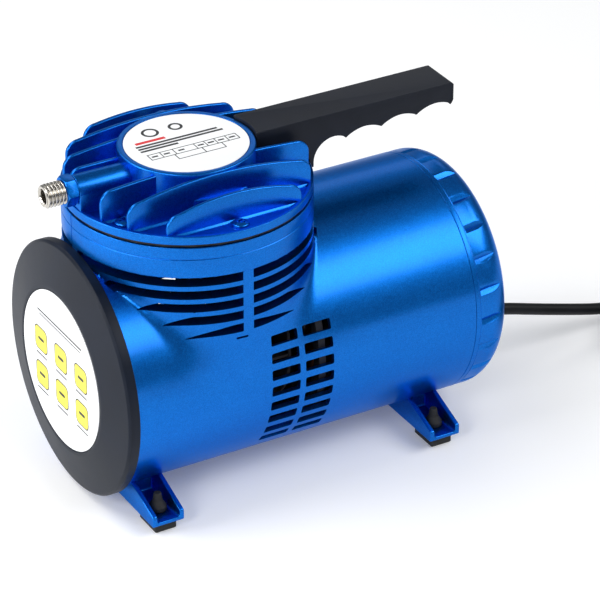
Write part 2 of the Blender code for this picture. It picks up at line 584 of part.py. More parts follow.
def eccentric():
    """The crank: an offset journal on the shaft with a counterweight below it."""
    back = HEAD_Y + 5.9 * MM
    journal = rod("eccentric", 8.5 * MM, HEAD_Y - 5.4 * MM, back + 4 * MM,
                  about_motor(0, 0, AXIS_Z + THROW), 32)
    boolean(journal, rod("crank_cheek", 13 * MM, back + 0.6 * MM, back + 8 * MM, about_motor(), 32), "UNION")
    rim = arc((0, AXIS_Z), 31 * MM, 200, 340, 12)
    sector = [(-8 * MM, AXIS_Z + 2 * MM)] + rim + [(8 * MM, AXIS_Z + 2 * MM)]
    weight = plate("counterweight", sector, 6.8 * MM, facing_y(back + 4.3 * MM))
    boolean(journal, weight, "UNION")
    boolean(journal, rod("crank_bore", SHAFT_R + GAP, HEAD_Y - 20 * MM, HEAD_Y + 30 * MM, about_motor(), 24))
    return paint(journal, (0.35, 0.36, 0.38), 0.5, 1.0)


def shaft_nut():
    """The nut that holds the crank on the shaft."""
    nut = rod("shaft_nut", 7.5 * MM, HEAD_Y - 11.4 * MM, HEAD_Y - 5.9 * MM, about_motor(), 6)
    boolean(nut, rod("nut_bore", SHAFT_R + GAP, HEAD_Y - 20 * MM, HEAD_Y, about_motor(), 24))
    return paint(nut, (0.6, 0.6, 0.62), 0.3, 1.0)


# ---------------------------------------------------------------- motor

def motor_shaft():
    """The shaft through the crank, the fan, the rotor and both bearings."""
    shaft = rod("motor_shaft", SHAFT_R, HEAD_Y - 13.5 * MM, REAR_BEARING_Y + 11 * MM, about_motor(), 24)
    return paint(shaft, (0.65, 0.65, 0.67), 0.2, 1.0)


def cooling_fan():
    """A radial fan: a hub and a disc that carries nine blades."""
    front, back = HEAD_Y + 17.2 * MM, HEAD_Y + 36.8 * MM
    outline = [(SHAFT_R + GAP, front), (10.5 * MM, front), (10.5 * MM, back - 1.6 * MM),
               (46 * MM, back - 1.6 * MM), (46 * MM, back), (SHAFT_R + GAP, back)]
    fan = turned("cooling_fan", outline, about_motor(), MID, ring=True)
    blade = ((9.6 * MM, front + 1.5 * MM, -0.8 * MM), (45.5 * MM, back - 0.8 * MM, 0.8 * MM))
    turns = [Matrix.Rotation(math.radians(40 * i), 4, "Y") for i in range(9)]
    boolean(fan, boxes("fan_blades", [blade], Matrix.Translation((0, 0, AXIS_Z)), turns), "UNION")
    return paint(fan, (0.05, 0.05, 0.055), 0.6)


def bracket(name, bearing_y, holes):
    """A spoked plate that carries a bearing and fits inside the housing."""
    low = bearing_y + 1.2 * MM
    high = low + 4 * MM
    outside = BODY_R - WALL - GAP
    ring = [(58 * MM, low), (outside, low), (outside, high), (58 * MM, high)]
    frame = turned(name, ring, about_motor(), INNER, ring=True)
    hub_ends = (bearing_y - 0.6 * MM, bearing_y + 7.6 * MM)
    hub = [(11.3 * MM, hub_ends[0]), (15 * MM, hub_ends[0]), (15 * MM, hub_ends[1]), (11.3 * MM, hub_ends[1])]
    turns = [Matrix.Rotation(math.radians(45 + 90 * i), 4, "Y") for i in range(4)]
    spoke = ((12.6 * MM, low + 0.2 * MM, -5.5 * MM), (60 * MM, high - 0.2 * MM, 5.5 * MM))
    boolean(frame, boxes(name + "_spokes", [spoke], Matrix.Translation((0, 0, AXIS_Z)), turns), "UNION")
    boolean(frame, turned(name + "_hub", hub, about_motor(), MID, ring=True), "UNION")
    for radius, angle, size in holes:
        x, z = on_circle(radius, angle)
        boolean(frame, rod(name + "_hole", size, low - 3 * MM, high + 3 * MM,
                           about_motor(0, x, AXIS_Z + z), 12))
    return paint(frame, (0.45, 0.46, 0.48), 0.5, 1.0)


def motor():
    """Brackets, bearings, stator with its windings, rotor core and through bolts."""
    bolts = [(BOLT_R, 45, 2.3 * MM), (BOLT_R, 225, 2.3 * MM)]
    cap_screw_holes = [(CAP_SCREW_R, angle, 2.1 * MM) for angle in (45, 135, 225, 315)]
    bracket("front_bracket", FRONT_BEARING_Y, bolts)
    bracket("rear_bracket", REAR_BEARING_Y, bolts + cap_screw_holes)
    for name, y in (("front_bearing", FRONT_BEARING_Y), ("rear_bearing", REAR_BEARING_Y)):
        bearing(name, SHAFT_R + GAP, 11 * MM, y, y + 7 * MM, about_motor())
    start = FRONT_BEARING_Y + 18.5 * MM
    end = start + 36 * MM
    core = [(27 * MM, start), (52 * MM, start), (52 * MM, end), (27 * MM, end)]
    stator = turned("stator_core", core, about_motor(), INNER, ring=True)
    for radius, angle, size in bolts:
        x, z = on_circle(radius, angle)
        boolean(stator, rod("stator_hole", size, start - 3 * MM, end + 3 * MM,
                            about_motor(0, x, AXIS_Z + z), 12))
    paint(stator, (0.3, 0.3, 0.31), 0.55, 1.0)
    for name, middle in (("winding_front", start - GAP - 4.6 * MM), ("winding_rear", end + GAP + 4.6 * MM)):
        coil = [(36.5 * MM + 7.4 * MM * c, middle + 4.6 * MM * s) for c, s in arc((0, 0), 1, 0, 315, 7)]
        paint(turned(name, coil, about_motor(), 24, ring=True), (0.5, 0.22, 0.08), 0.4, 1.0)
    rotor = [(SHAFT_R + GAP, start + 1 * MM), (26.3 * MM, start + 1 * MM), (26.3 * MM, end - 1 * MM),
             (SHAFT_R + GAP, end - 1 * MM)]
    paint(turned("rotor_core", rotor, about_motor(), MID, ring=True), (0.4, 0.4, 0.42), 0.5, 1.0)
    for number, angle in ((1, 45), (2, 225)):
        x, z = on_circle(BOLT_R, angle)
        seat = Matrix.Translation((x, FRONT_BEARING_Y + 1.2 * MM, AXIS_Z + z))
        seat = seat @ Matrix.Rotation(math.radians(90), 4, "X")
        paint(screw(f"stator_bolt_{number}", 3.8 * MM, 2.6 * MM, 1.9 * MM, 80 * MM, seat),
              (0.6, 0.6, 0.62), 0.3, 1.0)


def terminal_block():
    """The block on the rear bracket where the lead is joined to the windings."""
    y = REAR_BEARING_Y + 8.2 * MM
    low, high = (-12 * MM, y, AXIS_Z - 36 * MM), (12 * MM, y + 9 * MM, AXIS_Z - 24 * MM)
    block = boxes("terminal_block", [(low, high)])
    return paint(bevel(block, 0.8 * MM), (0.8, 0.8, 0.78), 0.5)


def cap_screws():
    """Four long screws through the rear cap into the rear bracket."""
    for number, angle in enumerate((45, 135, 225, 315), 1):
        x, z = on_circle(CAP_SCREW_R, angle)
        seat = about_motor(CAP_END_Y, x, AXIS_Z + z)
        length = CAP_END_Y - REAR_BEARING_Y
        paint(screw(f"cap_screw_{number}", 3.6 * MM, 1.7 * MM, 1.8 * MM, length, seat),
              (0.6, 0.6, 0.62), 0.3, 1.0)


# ---------------------------------------------------------------- handle and switch

def handle_outline():
    """The side view of the handle: straight top, finger scallops below and a foot on the head."""
    first, pitch, count, depth = 48.6 * MM, 22.0 * MM, 3, 3.0 * MM
    rise = 0.06
    crest = AXIS_Z + 101.3 * MM
    grip = []
    for step in range(count * 6 + 1):
        y = first + pitch * step / 6
        dip = depth * abs(math.sin(math.pi * step / 6))
        grip.append((y, crest + rise * (y - first) + dip))
    tip = 115.9 * MM
    heel = 28.8 * MM
    bottom = AXIS_Z + 89 * MM
    throat = arc((heel + 12.5 * MM, AXIS_Z + 95.0 * MM), 12.5 * MM, 180, 96, 6)
    throat = [(y, z if z < AXIS_Z + 104 * MM else z - 3.4 * MM) for y, z in throat]
    end = [(tip - 1.5 * MM, crest + 3.9 * MM), (tip, HANDLE_TOP - 1.5 * MM), (tip - 1.5 * MM, HANDLE_TOP)]
    start = [(HEAD_Y + 30 * MM, HANDLE_TOP), (HEAD_Y + 30 * MM, PLATE_TOP + GAP),
             (heel - 2.7 * MM, PLATE_TOP + GAP), (heel - 2.7 * MM, bottom), (heel, bottom)]
    return start + throat + grip + end


def handle():
    """The black moulded handle, screwed to the head between the fins from below."""
    grip = plate("handle", handle_outline(), 25 * MM, facing_x())
    clearance = [(0, HANDLE_TOP + 9 * MM), (BOSS_R + 0.5 * MM, HANDLE_TOP + 9 * MM),
                 (BOSS_R + 0.5 * MM, PLATEAU_TOP + 0.5 * MM), (PLATEAU_R + 0.5 * MM, PLATEAU_TOP + 0.5 * MM),
                 (PLATEAU_R + 0.5 * MM, BAND_BOTTOM), (0, BAND_BOTTOM)]
    boolean(grip, turned("boss_clearance", clearance, about_head()))
    rim = [(HEAD_R - 3.4 * MM, RIM_TOP + 0.4 * MM), (HEAD_R + 0.4 * MM, RIM_TOP + 0.4 * MM),
           (HEAD_R + 0.4 * MM, BAND_BOTTOM), (HEAD_R - 3.4 * MM, BAND_BOTTOM)]
    boolean(grip, turned("rim_clearance", rim, about_head(), FINE, ring=True))
    for reach in HANDLE_SCREW_REACH:
        boolean(grip, rod("handle_hole", 2.1 * MM, BAND_TOP, PLATE_TOP + 12 * MM,
                          about_head(0, HEAD_Y + reach), 12))
    return paint(grip, (0.02, 0.022, 0.028), 0.45)


def handle_screws():
    """Two screws up through the cover into the handle's foot."""
    for number, reach in enumerate(HANDLE_SCREW_REACH, 1):
        seat = about_head(0, HEAD_Y + reach) @ Matrix.Translation((0, 0, FLANGE_BOTTOM + 1.9 * MM))
        seat = seat @ Matrix.Rotation(math.radians(180), 4, "X")
        paint(screw(f"handle_screw_{number}", 3.7 * MM, 1.6 * MM, 1.7 * MM, 12 * MM, seat),
              (0.6, 0.6, 0.62), 0.3, 1.0)


def power_switch():
    """A rocker switch in the rear cap: a frame with a flange and the rocker in its pocket."""
    seat = CAP_END_Y + GAP
    frame = boxes("switch_frame", [((-8.6 * MM, seat, SWITCH_Z - 11.6 * MM),
                                    (8.6 * MM, seat + 1.5 * MM, SWITCH_Z + 11.6 * MM))])
    body = boxes("switch_body", [((-7.1 * MM, CAP_END_Y - 13 * MM, SWITCH_Z - 9.9 * MM),
                                  (7.1 * MM, seat + 0.5 * MM, SWITCH_Z + 9.9 * MM))])
    boolean(frame, body, "UNION")
    pocket = boxes("switch_pocket", [((-5.5 * MM, SWITCH_PIVOT_Y - 6.5 * MM, SWITCH_Z - 8.2 * MM),
                                      (5.5 * MM, CAP_END_Y + 5 * MM, SWITCH_Z + 8.2 * MM))])
    boolean(frame, pocket)
    paint(frame, (0.02, 0.02, 0.022), 0.4)
    reach = 7.6 * MM
    outline = arc((0, 0), reach, 122, 58, 5) + [(1.6 * MM, 0)] + arc((0, 0), reach, -58, -122, 5)
    rocker = plate("switch_rocker", outline, 10 * MM, Matrix())
    turn = Matrix.Rotation(math.radians(-OFF_TILT), 4, "X")
    rocker.matrix_world = Matrix.Translation((0, SWITCH_PIVOT_Y, SWITCH_Z)) @ turn @ facing_x()
    paint(rocker, (0.6, 0.02, 0.02), 0.35)


# ---------------------------------------------------------------- mains lead

# Route of the lead from the strain relief to the coil, as (x, y, z) in millimetres.
LEAD_ROUTE = ((0, 153.6, 33.3), (0, 159, 32.7), (0, 168, 30.3), (0, 178, 27.2), (0, 190, 23.6),
              (0, 202, 20.1), (-0.2, 214, 16.6), (-0.6, 225, 13.5), (-1.2, 236, 11.0), (-2.0, 246, 9.4),
              (-2.3, 254, 8.8))
# Route from the coil to the plug.
TAIL_ROUTE = ((60, 325.6, 3.6), (70, 322.2, 3.5), (80, 316.4, 3.5), (88, 307.5, 3.5), (94, 297, 3.7),
              (98, 286, 4.4), (100, 275, 5.6), (101, 266, 6.7), (101.4, 260.4, 7.1))
PLUG_BACK = Vector((101.4 * MM, 260.0 * MM, 7.1 * MM))


def smooth_through(points, per_span=3):
    """A Catmull-Rom curve through the points, with per_span steps between neighbours."""
    points = [Vector(p) * MM for p in points]
    padded = [2 * points[0] - points[1]] + points + [2 * points[-1] - points[-2]]
    result = []
    for a, b, c, d in zip(padded, padded[1:], padded[2:], padded[3:]):
        for step in range(per_span):
            t = step / per_span
            result.append(0.5 * (2 * b + (c - a) * t + (2 * a - 5 * b + 4 * c - d) * t ** 2
                                 + (3 * b - a - 3 * c + d) * t ** 3))
    result.append(points[-1])
    return result


def tube(name, points):
    """A round tube along a list of points."""
    curve = bpy.data.curves.new(name, "CURVE")
    curve.dimensions = "3D"
    curve.bevel_depth = CORD_D / 2
    curve.bevel_resolution = 2
    curve.use_fill_caps = True
    spline = curve.splines.new("POLY")
    spline.points.add(len(points) - 1)
    for target, point in zip(spline.points, points):
        target.co = (*point, 1)
    obj = bpy.data.objects.new(name, curve)
    bpy.data.collections[PARTS].objects.link(obj)
    return paint(obj, (0.015, 0.015, 0.017), 0.5)


def strain_relief():
    """The moulded strain relief: a flange on the cap and a tapered sleeve behind it."""
    seat = CAP_END_Y + GAP
    outline = [(0, RELIEF_END_Y), (4.3 * MM, RELIEF_END_Y), (6.2 * MM, seat + 3 * MM),
               (8.6 * MM, seat + 2.6 * MM),
               (8.6 * MM, seat), (5.6 * MM, seat), (5.6 * MM, CAP_END_Y - 10 * MM), (0, CAP_END_Y - 10 * MM)]
    return paint(turned("strain_relief", outline, about_motor(0, 0, CORD_Z), 24), (0.015, 0.015, 0.017), 0.5)


def mains_lead():
    """The visible run of the lead, the stored coil, the tail and the plug."""
    tube("power_cord", smooth_through(LEAD_ROUTE, 2))
    inner, outer, height = COIL_INNER_R, COIL_OUTER_R, COIL_HEIGHT
    ring = [(inner, 3 * MM), (inner + 3 * MM, 0), (outer - 3 * MM, 0), (outer, 3 * MM),
            (outer, height - 8 * MM),
            (outer - 7 * MM, height), (inner + 7 * MM, height), (inner, height - 8 * MM)]
    coil = turned("cord_coil", ring, Matrix.Translation(COIL_CENTRE), 36, ring=True)
    paint(coil, (0.015, 0.015, 0.017), 0.5)
    tube("cord_tail", smooth_through(TAIL_ROUTE, 2))
    plug()


def plug():
    """A two-pin moulded plug lying on the floor beside the coil."""
    back = PLUG_BACK
    width, thick, length = 15 * MM, 13.6 * MM, 34 * MM
    outline = [(-3.8 * MM, 0), (3.8 * MM, 0), (6.5 * MM, -9 * MM), (width / 2 + 5 * MM, -18 * MM),
               (width / 2 + 5.2 * MM, -length), (-width / 2 - 5.2 * MM, -length),
               (-width / 2 - 5 * MM, -18 * MM), (-6.5 * MM, -9 * MM)]
    lie = Matrix.Translation((back.x, back.y, thick / 2 + 0.3 * MM))
    body = plate("plug_body", outline, thick, lie)
    bevel(body, 2.4 * MM, 3)
    paint(body, (0.015, 0.015, 0.017), 0.5)
    for name, side in (("plug_pin_left", -1), ("plug_pin_right", 1)):
        start = back.y - length - GAP
        pin = [(0, start), (2.0 * MM, start), (2.4 * MM, start - 1 * MM), (2.4 * MM, start - 17.5 * MM),
               (1.2 * MM, start - 19 * MM), (0, start - 19 * MM)]
        paint(turned(name, pin, about_motor(0, back.x + side * 9.5 * MM, thick / 2 + 0.3 * MM), 16),
              (0.7, 0.7, 0.68), 0.25, 1.0)


# ---------------------------------------------------------------- assembly

def build():
    """Makes every piece."""
    clear_scene()
    body_housing()
    front_cover()
    label("front_label", LABEL_R * 1.35 - 0.2 * MM, about_motor(), COVER_FACE_Y - 0.05 * MM,
          COVER_FACE_Y + 0.3 * MM)
    rear_cap()
    for end, y in LEG_CENTRES.items():
        for side, x in (("left", -FOOT_X), ("right", FOOT_X)):
            foot(f"foot_{end}_{side}", x, y)
    head_cover()
    label("top_label", LABEL_R, about_head(), BOSS_TOP - 0.4 * MM, BOSS_TOP - 0.1 * MM)
    outlet_fitting()
    head_screws()
    diaphragm()
    valves()
    intake_filter()
    connecting_rod()
    diaphragm_clamp()
    bearing("rod_bearing", 8.8 * MM, 17.5 * MM, HEAD_Y - 5 * MM, HEAD_Y + 5 * MM,
            about_motor(0, 0, AXIS_Z + THROW))
    eccentric()
    shaft_nut()
    motor_shaft()
    cooling_fan()
    motor()
    terminal_block()
    cap_screws()
    handle()
    handle_screws()
    power_switch()
    strain_relief()
    mains_lead()


build()
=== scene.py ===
"""Looks of the airbrush compressor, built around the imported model. Metres, +Z up, motor axis along Y."""
import math

import bmesh
import bpy
import numpy as np
from mathutils import Matrix, Vector


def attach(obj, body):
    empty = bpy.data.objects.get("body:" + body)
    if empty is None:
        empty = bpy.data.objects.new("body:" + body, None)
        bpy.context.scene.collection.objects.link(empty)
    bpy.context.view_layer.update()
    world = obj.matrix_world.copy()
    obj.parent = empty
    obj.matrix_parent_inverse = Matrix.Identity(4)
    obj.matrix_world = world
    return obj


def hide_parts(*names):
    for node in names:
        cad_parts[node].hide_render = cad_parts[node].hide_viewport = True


MM = 0.001

# The model's main sizes, as in the CAD
BODY_R = 67.5 * MM
BORE_R = 64.5 * MM
AXIS_Z = 74.5 * MM
HEAD_Y = -41.1 * MM
HEAD_R = 66.75 * MM
COVER_FACE_Y = -118.5 * MM
COVER_RIM_Y = -113.9 * MM
COVER_LIP_Y = -107.5 * MM
COVER_R = 70.5 * MM
BODY_FRONT_Y = -111.7 * MM
CAP_JOIN_Y = 98.9 * MM
CAP_END_Y = 123.2 * MM
OUTLET_TIP_Y = -125.0 * MM
BAND_BOTTOM = AXIS_Z + 72.0 * MM
BAND_TOP = AXIS_Z + 89.6 * MM
FLANGE_BOTTOM = AXIS_Z + 91.4 * MM
PLATE_TOP = AXIS_Z + 94.3 * MM
RIM_TOP = AXIS_Z + 96.1 * MM
PLATEAU_R = 40.5 * MM
PLATEAU_TOP = AXIS_Z + 103.2 * MM
BOSS_R = 36.6 * MM
BOSS_TOP = AXIS_Z + 116.2 * MM
LABEL_R = 33.1 * MM
FRONT_LABEL_R = LABEL_R * 1.35
HANDLE_TOP = AXIS_Z + 118.0 * MM
OUTLET_Z = AXIS_Z + 106.0 * MM
PORT_STEP_Z = AXIS_Z + 100.9 * MM
HEAD_SCREW_R = 58.3 * MM
HEAD_SCREW_ANGLES = (0, 62, 146.5, 213.5, 298)
# Each fin: its place, the height of its crest, how fast the crest falls, and where a short fin stops
FINS = ((51.5 * MM, AXIS_Z + 110.4 * MM, 4.2, None), (36.1 * MM, AXIS_Z + 115.0 * MM, 2.4, None),
        (20.7 * MM, AXIS_Z + 114.6 * MM, 0.8, None), (-10.1 * MM, AXIS_Z + 112.2 * MM, 0.05, -31 * MM),
        (-25.5 * MM, AXIS_Z + 115.0 * MM, 1.3, None), (-40.9 * MM, AXIS_Z + 114.3 * MM, 2.0, None),
        (-56.3 * MM, AXIS_Z + 110.8 * MM, 3.4, None))
SLOT_PITCH = 7.6 * MM
SLOT_HEIGHT = 5.0 * MM
# Each row of slots: the angle of its front tips and of its rear tips, and how far each tapers
SLOT_TIPS = ((89, 89, 1), (70, 68, 5), (51, 48, 10), (39.5, 36.5, 14), (29.8, 26.5, 23))
FILLET = 20.0 * MM
# The openings in the tube: rows, the first one's angle, the angle between rows, columns, half a height
VENT_ROWS = 8
VENT_FIRST = -20.8
VENT_STEP = 8.45
VENT_COLUMNS = ((-27.7 * MM, -10.7 * MM), (-7.4 * MM, 9.8 * MM))
VENT_HALF = 3.0 * MM
LEG_WIDTH = 18.5 * MM
LEG_CENTRES = (-90.25 * MM, 81.3 * MM)
FOOT_X = 53.6 * MM
FLOOR_GAP = 6.0 * MM
CAP_SCREW_R = 40.0 * MM
SWITCH_Z = AXIS_Z + 37.0 * MM
SWITCH_PIVOT_Y = CAP_END_Y - 2.3 * MM
OFF_TILT = 8.0

# The lead
CORD_D = 6.8 * MM
CORD_Z = AXIS_Z - 41.2 * MM
RELIEF_END_Y = CAP_END_Y + 30.0 * MM
COIL_CENTRE = (46.0, 275.0)
LEAD_ROUTE = ((0, 153.6, 33.3), (0, 159, 32.7), (0, 168, 30.3), (0, 178, 27.2), (0, 190, 23.6),
              (0, 202, 20.1), (-0.2, 214, 16.6), (-0.6, 225, 13.5), (-1.2, 236, 11.0), (-2.0, 246, 9.4),
              (-2.3, 254, 8.8))
TAIL_ROUTE = ((60, 325.2, 6.0), (70, 322.0, 4.4), (80, 316.4, 3.6), (88, 307.5, 3.5), (94, 297, 3.7),
              (98, 286, 4.4), (100, 275, 5.6), (101, 266, 6.7), (101.4, 260.4, 7.1))
PLUG_BACK = Vector((101.4, 260.0, 7.1)) * MM

# Radius and height of the middle of each turn of the coil, in the order that the lead takes them
TURNS = ((45.5, 3.45), (38.7, 3.45), (31.9, 3.45), (35.3, 10.3), (42.1, 10.3), (38.7, 17.2), (45.5, 17.2))
TURN_STEPS = 72
# Radius and height at which the lead comes to the coil and at which it leaves
LEAD_IN = (52.7, 8.8)
LEAD_OUT = (50.4, 6.3)
# Stretches of a turn, as (start, length), in which the lead moves to the next radius or layer
NEXT_RADIUS = (0.74, 0.2)
CLIMB_RADIUS = (0.55, 0.16)
CLIMB_HEIGHT = (0.42, 0.2)
ARRIVAL = 0.12                  # share of the first turn in which the lead settles into it
LEAVING_RADIUS = (0.0, 0.13)
LEAVING_HEIGHT = (0.02, 0.16)
LEAVING = 0.17                  # share of a turn, before the end, from which the lead leaves

# View
TARGET = Vector((0.0, 27.36, 76.08)) * MM
VIEW_AZIMUTH = math.radians(60.24)
VIEW_ELEVATION = math.radians(29.87)
VIEW_DISTANCE = 1899.6 * MM
LENS = 208.2


# ---------------------------------------------------------------- mesh tools

def link(obj):
    """Adds an object to the scene."""
    bpy.context.scene.collection.objects.link(obj)
    return obj


def mesh_object(name, verts, faces, matrix=None):
    """An object with this mesh, moved into place so that its origin is the world's."""
    mesh = bpy.data.meshes.new(name)
    mesh.from_pydata([tuple(v) for v in verts], [], faces)
    if matrix is not None:
        mesh.transform(matrix)
    mesh.update()
    return link(bpy.data.objects.new(name, mesh))


def from_bmesh(name, shape, matrix=None):
    """An object from a bmesh, which is freed."""
    mesh = bpy.data.meshes.new(name)
    shape.to_mesh(mesh)
    shape.free()
    if matrix is not None:
        mesh.transform(matrix)
    return link(bpy.data.objects.new(name, mesh))


def outward(obj):
    """Turns every face of an object to face outward."""
    shape = bmesh.new()
    shape.from_mesh(obj.data)
    bmesh.ops.recalc_face_normals(shape, faces=shape.faces)
    shape.to_mesh(obj.data)
    shape.free()
    return obj


def shade(obj, angle=32):
    """Smooth shading with sharp creases above an angle."""
    obj.data.shade_smooth()
    obj.data.set_sharp_from_angle(angle=math.radians(angle))
    return obj


def bake(obj):
    """Applies an object's modifiers to its mesh."""
    bpy.context.view_layer.update()
    graph = bpy.context.evaluated_depsgraph_get()
    mesh = bpy.data.meshes.new_from_object(obj.evaluated_get(graph))
    obj.modifiers.clear()
    obj.data = mesh
    return obj


def boolean(obj, tools, operation="DIFFERENCE"):
    """Cuts or joins with each tool in turn, and removes the tools."""
    for tool in tools:
        modifier = obj.modifiers.new("cut", "BOOLEAN")
        modifier.operation = operation
        modifier.object = tool
        modifier.solver = "EXACT"
        bake(obj)
        bpy.data.objects.remove(tool)
    return obj


def soften(obj, width, segments=2, angle=40):
    """Rounds an object's sharp edges."""
    weld = obj.modifiers.new("weld", "WELD")
    weld.merge_threshold = 0.00001
    modifier = obj.modifiers.new("bevel", "BEVEL")
    modifier.width = width
    modifier.segments = segments
    modifier.limit_method = "ANGLE"
    modifier.angle_limit = math.radians(angle)
    modifier.harden_normals = False
    return bake(obj)


def joined(name, objects):
    """One object made of several, which are removed."""
    shape = bmesh.new()
    for obj in objects:
        obj.data.transform(obj.matrix_world)
        shape.from_mesh(obj.data)
        bpy.data.objects.remove(obj)
    return from_bmesh(name, shape)


def rounded(points, segments=4):
    """Replaces the corners that carry a radius, as a third number, by arcs. Ends on the axis stay."""
    result = []
    count = len(points)
    for i, point in enumerate(points):
        own = point[2] if len(point) > 2 else 0.0
        here = Vector(point[:2])
        before, after = Vector(points[i - 1][:2]), Vector(points[(i + 1) % count][:2])
        if own <= 0 or here.x < 1e-7:
            result.append(tuple(here))
            continue
        to_before, to_after = before - here, after - here
        angle = to_before.angle(to_after)
        if angle > math.radians(172):
            result.append(tuple(here))
            continue
        reach = min(own / math.tan(angle / 2), 0.49 * to_before.length, 0.49 * to_after.length)
        start, end = here + to_before.normalized() * reach, here + to_after.normalized() * reach
        for step in range(segments + 1):
            t = step / segments
            result.append(tuple((1 - t) ** 2 * start + 2 * t * (1 - t) * here + t * t * end))
    return result


def lathe(name, outline, matrix=None, steps=128, ring=False, phase=0.0):
    """A solid of revolution about the matrix's Z axis from (radius, height) pairs."""
    verts, rows = [], []
    for r, h in outline:
        if r < 1e-7:
            rows.append([len(verts)] * steps)
            verts.append((0, 0, h))
        else:
            rows.append(list(range(len(verts), len(verts) + steps)))
            for k in range(steps):
                a = 2 * math.pi * k / steps + phase
                verts.append((r * math.cos(a), r * math.sin(a), h))
    faces = []
    pairs = list(zip(rows, rows[1:])) + ([(rows[-1], rows[0])] if ring else [])
    for upper, lower in pairs:
        for k in range(steps):
            n = (k + 1) % steps
            face = [upper[k], upper[n], lower[n], lower[k]]
            face = [v for j, v in enumerate(face) if v != face[j - 1]]
            if len(face) > 2:
                faces.append(face)
    return outward(mesh_object(name, verts, faces, matrix))


def spin(angle, axis):
    """A rotation about an axis through the origin, in degrees."""
    return Matrix.Rotation(math.radians(angle), 4, axis)


def about_motor(y=0.0, x=0.0, z=AXIS_Z):
    """A frame whose Z axis runs along world +Y."""
    return Matrix.Translation((x, y, z)) @ spin(-90, "X")


def about_head(x=0.0, y=HEAD_Y, z=0.0):
    """A frame whose Z axis is upright."""
    return Matrix.Translation((x, y, z))


def facing_x(x=0.0, y=0.0, z=0.0):
    """A frame for outlines drawn from the side: X is world Y and Y is world Z."""
    return Matrix(((0, 0, 1, x), (1, 0, 0, y), (0, 1, 0, z), (0, 0, 0, 1)))


def facing_y(x=0.0, y=0.0, z=0.0):
    """A frame for outlines drawn from the front: X is world X and Y is world Z."""
    return Matrix(((1, 0, 0, x), (0, 0, -1, y), (0, 1, 0, z), (0, 0, 0, 1)))


def slab(name, outline, thickness, matrix=None, edge=0.0, segments=3, angle=40):
    """A flat outline with a thickness, centred on the matrix's XY plane, with rounded edges."""
    shape = bmesh.new()
    verts = [shape.verts.new((x, y, -thickness / 2)) for x, y in outline]
    face = shape.faces.new(verts)
    top = bmesh.ops.extrude_face_region(shape, geom=[face])
    moved = [v for v in top["geom"] if isinstance(v, bmesh.types.BMVert)]
    bmesh.ops.translate(shape, verts=moved, vec=(0, 0, thickness))
    bmesh.ops.recalc_face_normals(shape, faces=shape.faces)
    obj = from_bmesh(name, shape)
    if edge > 0:
        soften(obj, edge, segments, angle)
    if matrix is not None:
        obj.data.transform(matrix)
    return obj


def box(name, low, high, matrix=None, edge=0.0, segments=3):
    """A box between two corners, with rounded edges."""
    low, high = Vector(low), Vector(high)
    outline = [(low.x, low.y), (high.x, low.y), (high.x, high.y), (low.x, high.y)]
    middle = Matrix.Translation((0, 0, (low.z + high.z) / 2))
    obj = slab(name, outline, high.z - low.z, middle)
    if edge > 0:
        soften(obj, edge, segments)
    if matrix is not None:
        obj.data.transform(matrix)
    return obj


def bar(name, radius, low, high, matrix, steps=64, edge=0.0):
    """A round bar along the matrix's Z axis."""
    outline = [(0, high), (radius, high, edge), (radius, low, edge), (0, low)]
    return lathe(name, rounded(outline), matrix, steps)


def arc(centre, radius, start, end, count):
    """Points along an arc, in degrees from the first axis."""
    angles = [math.radians(start + (end - start) * i / count) for i in range(count + 1)]
    return [(centre[0] + radius * math.cos(a), centre[1] + radius * math.sin(a)) for a in angles]


def polar(radius, angle):
    """A point on a circle, with the angle in degrees."""
    return radius * math.cos(math.radians(angle)), radius * math.sin(math.radians(angle))


def copy_of(obj, name, matrix):
    """Another object with a copy of a mesh, moved by a matrix."""
    mesh = obj.data.copy()
    mesh.transform(matrix)
    return link(bpy.data.objects.new(name, mesh))


# ---------------------------------------------------------------- materials

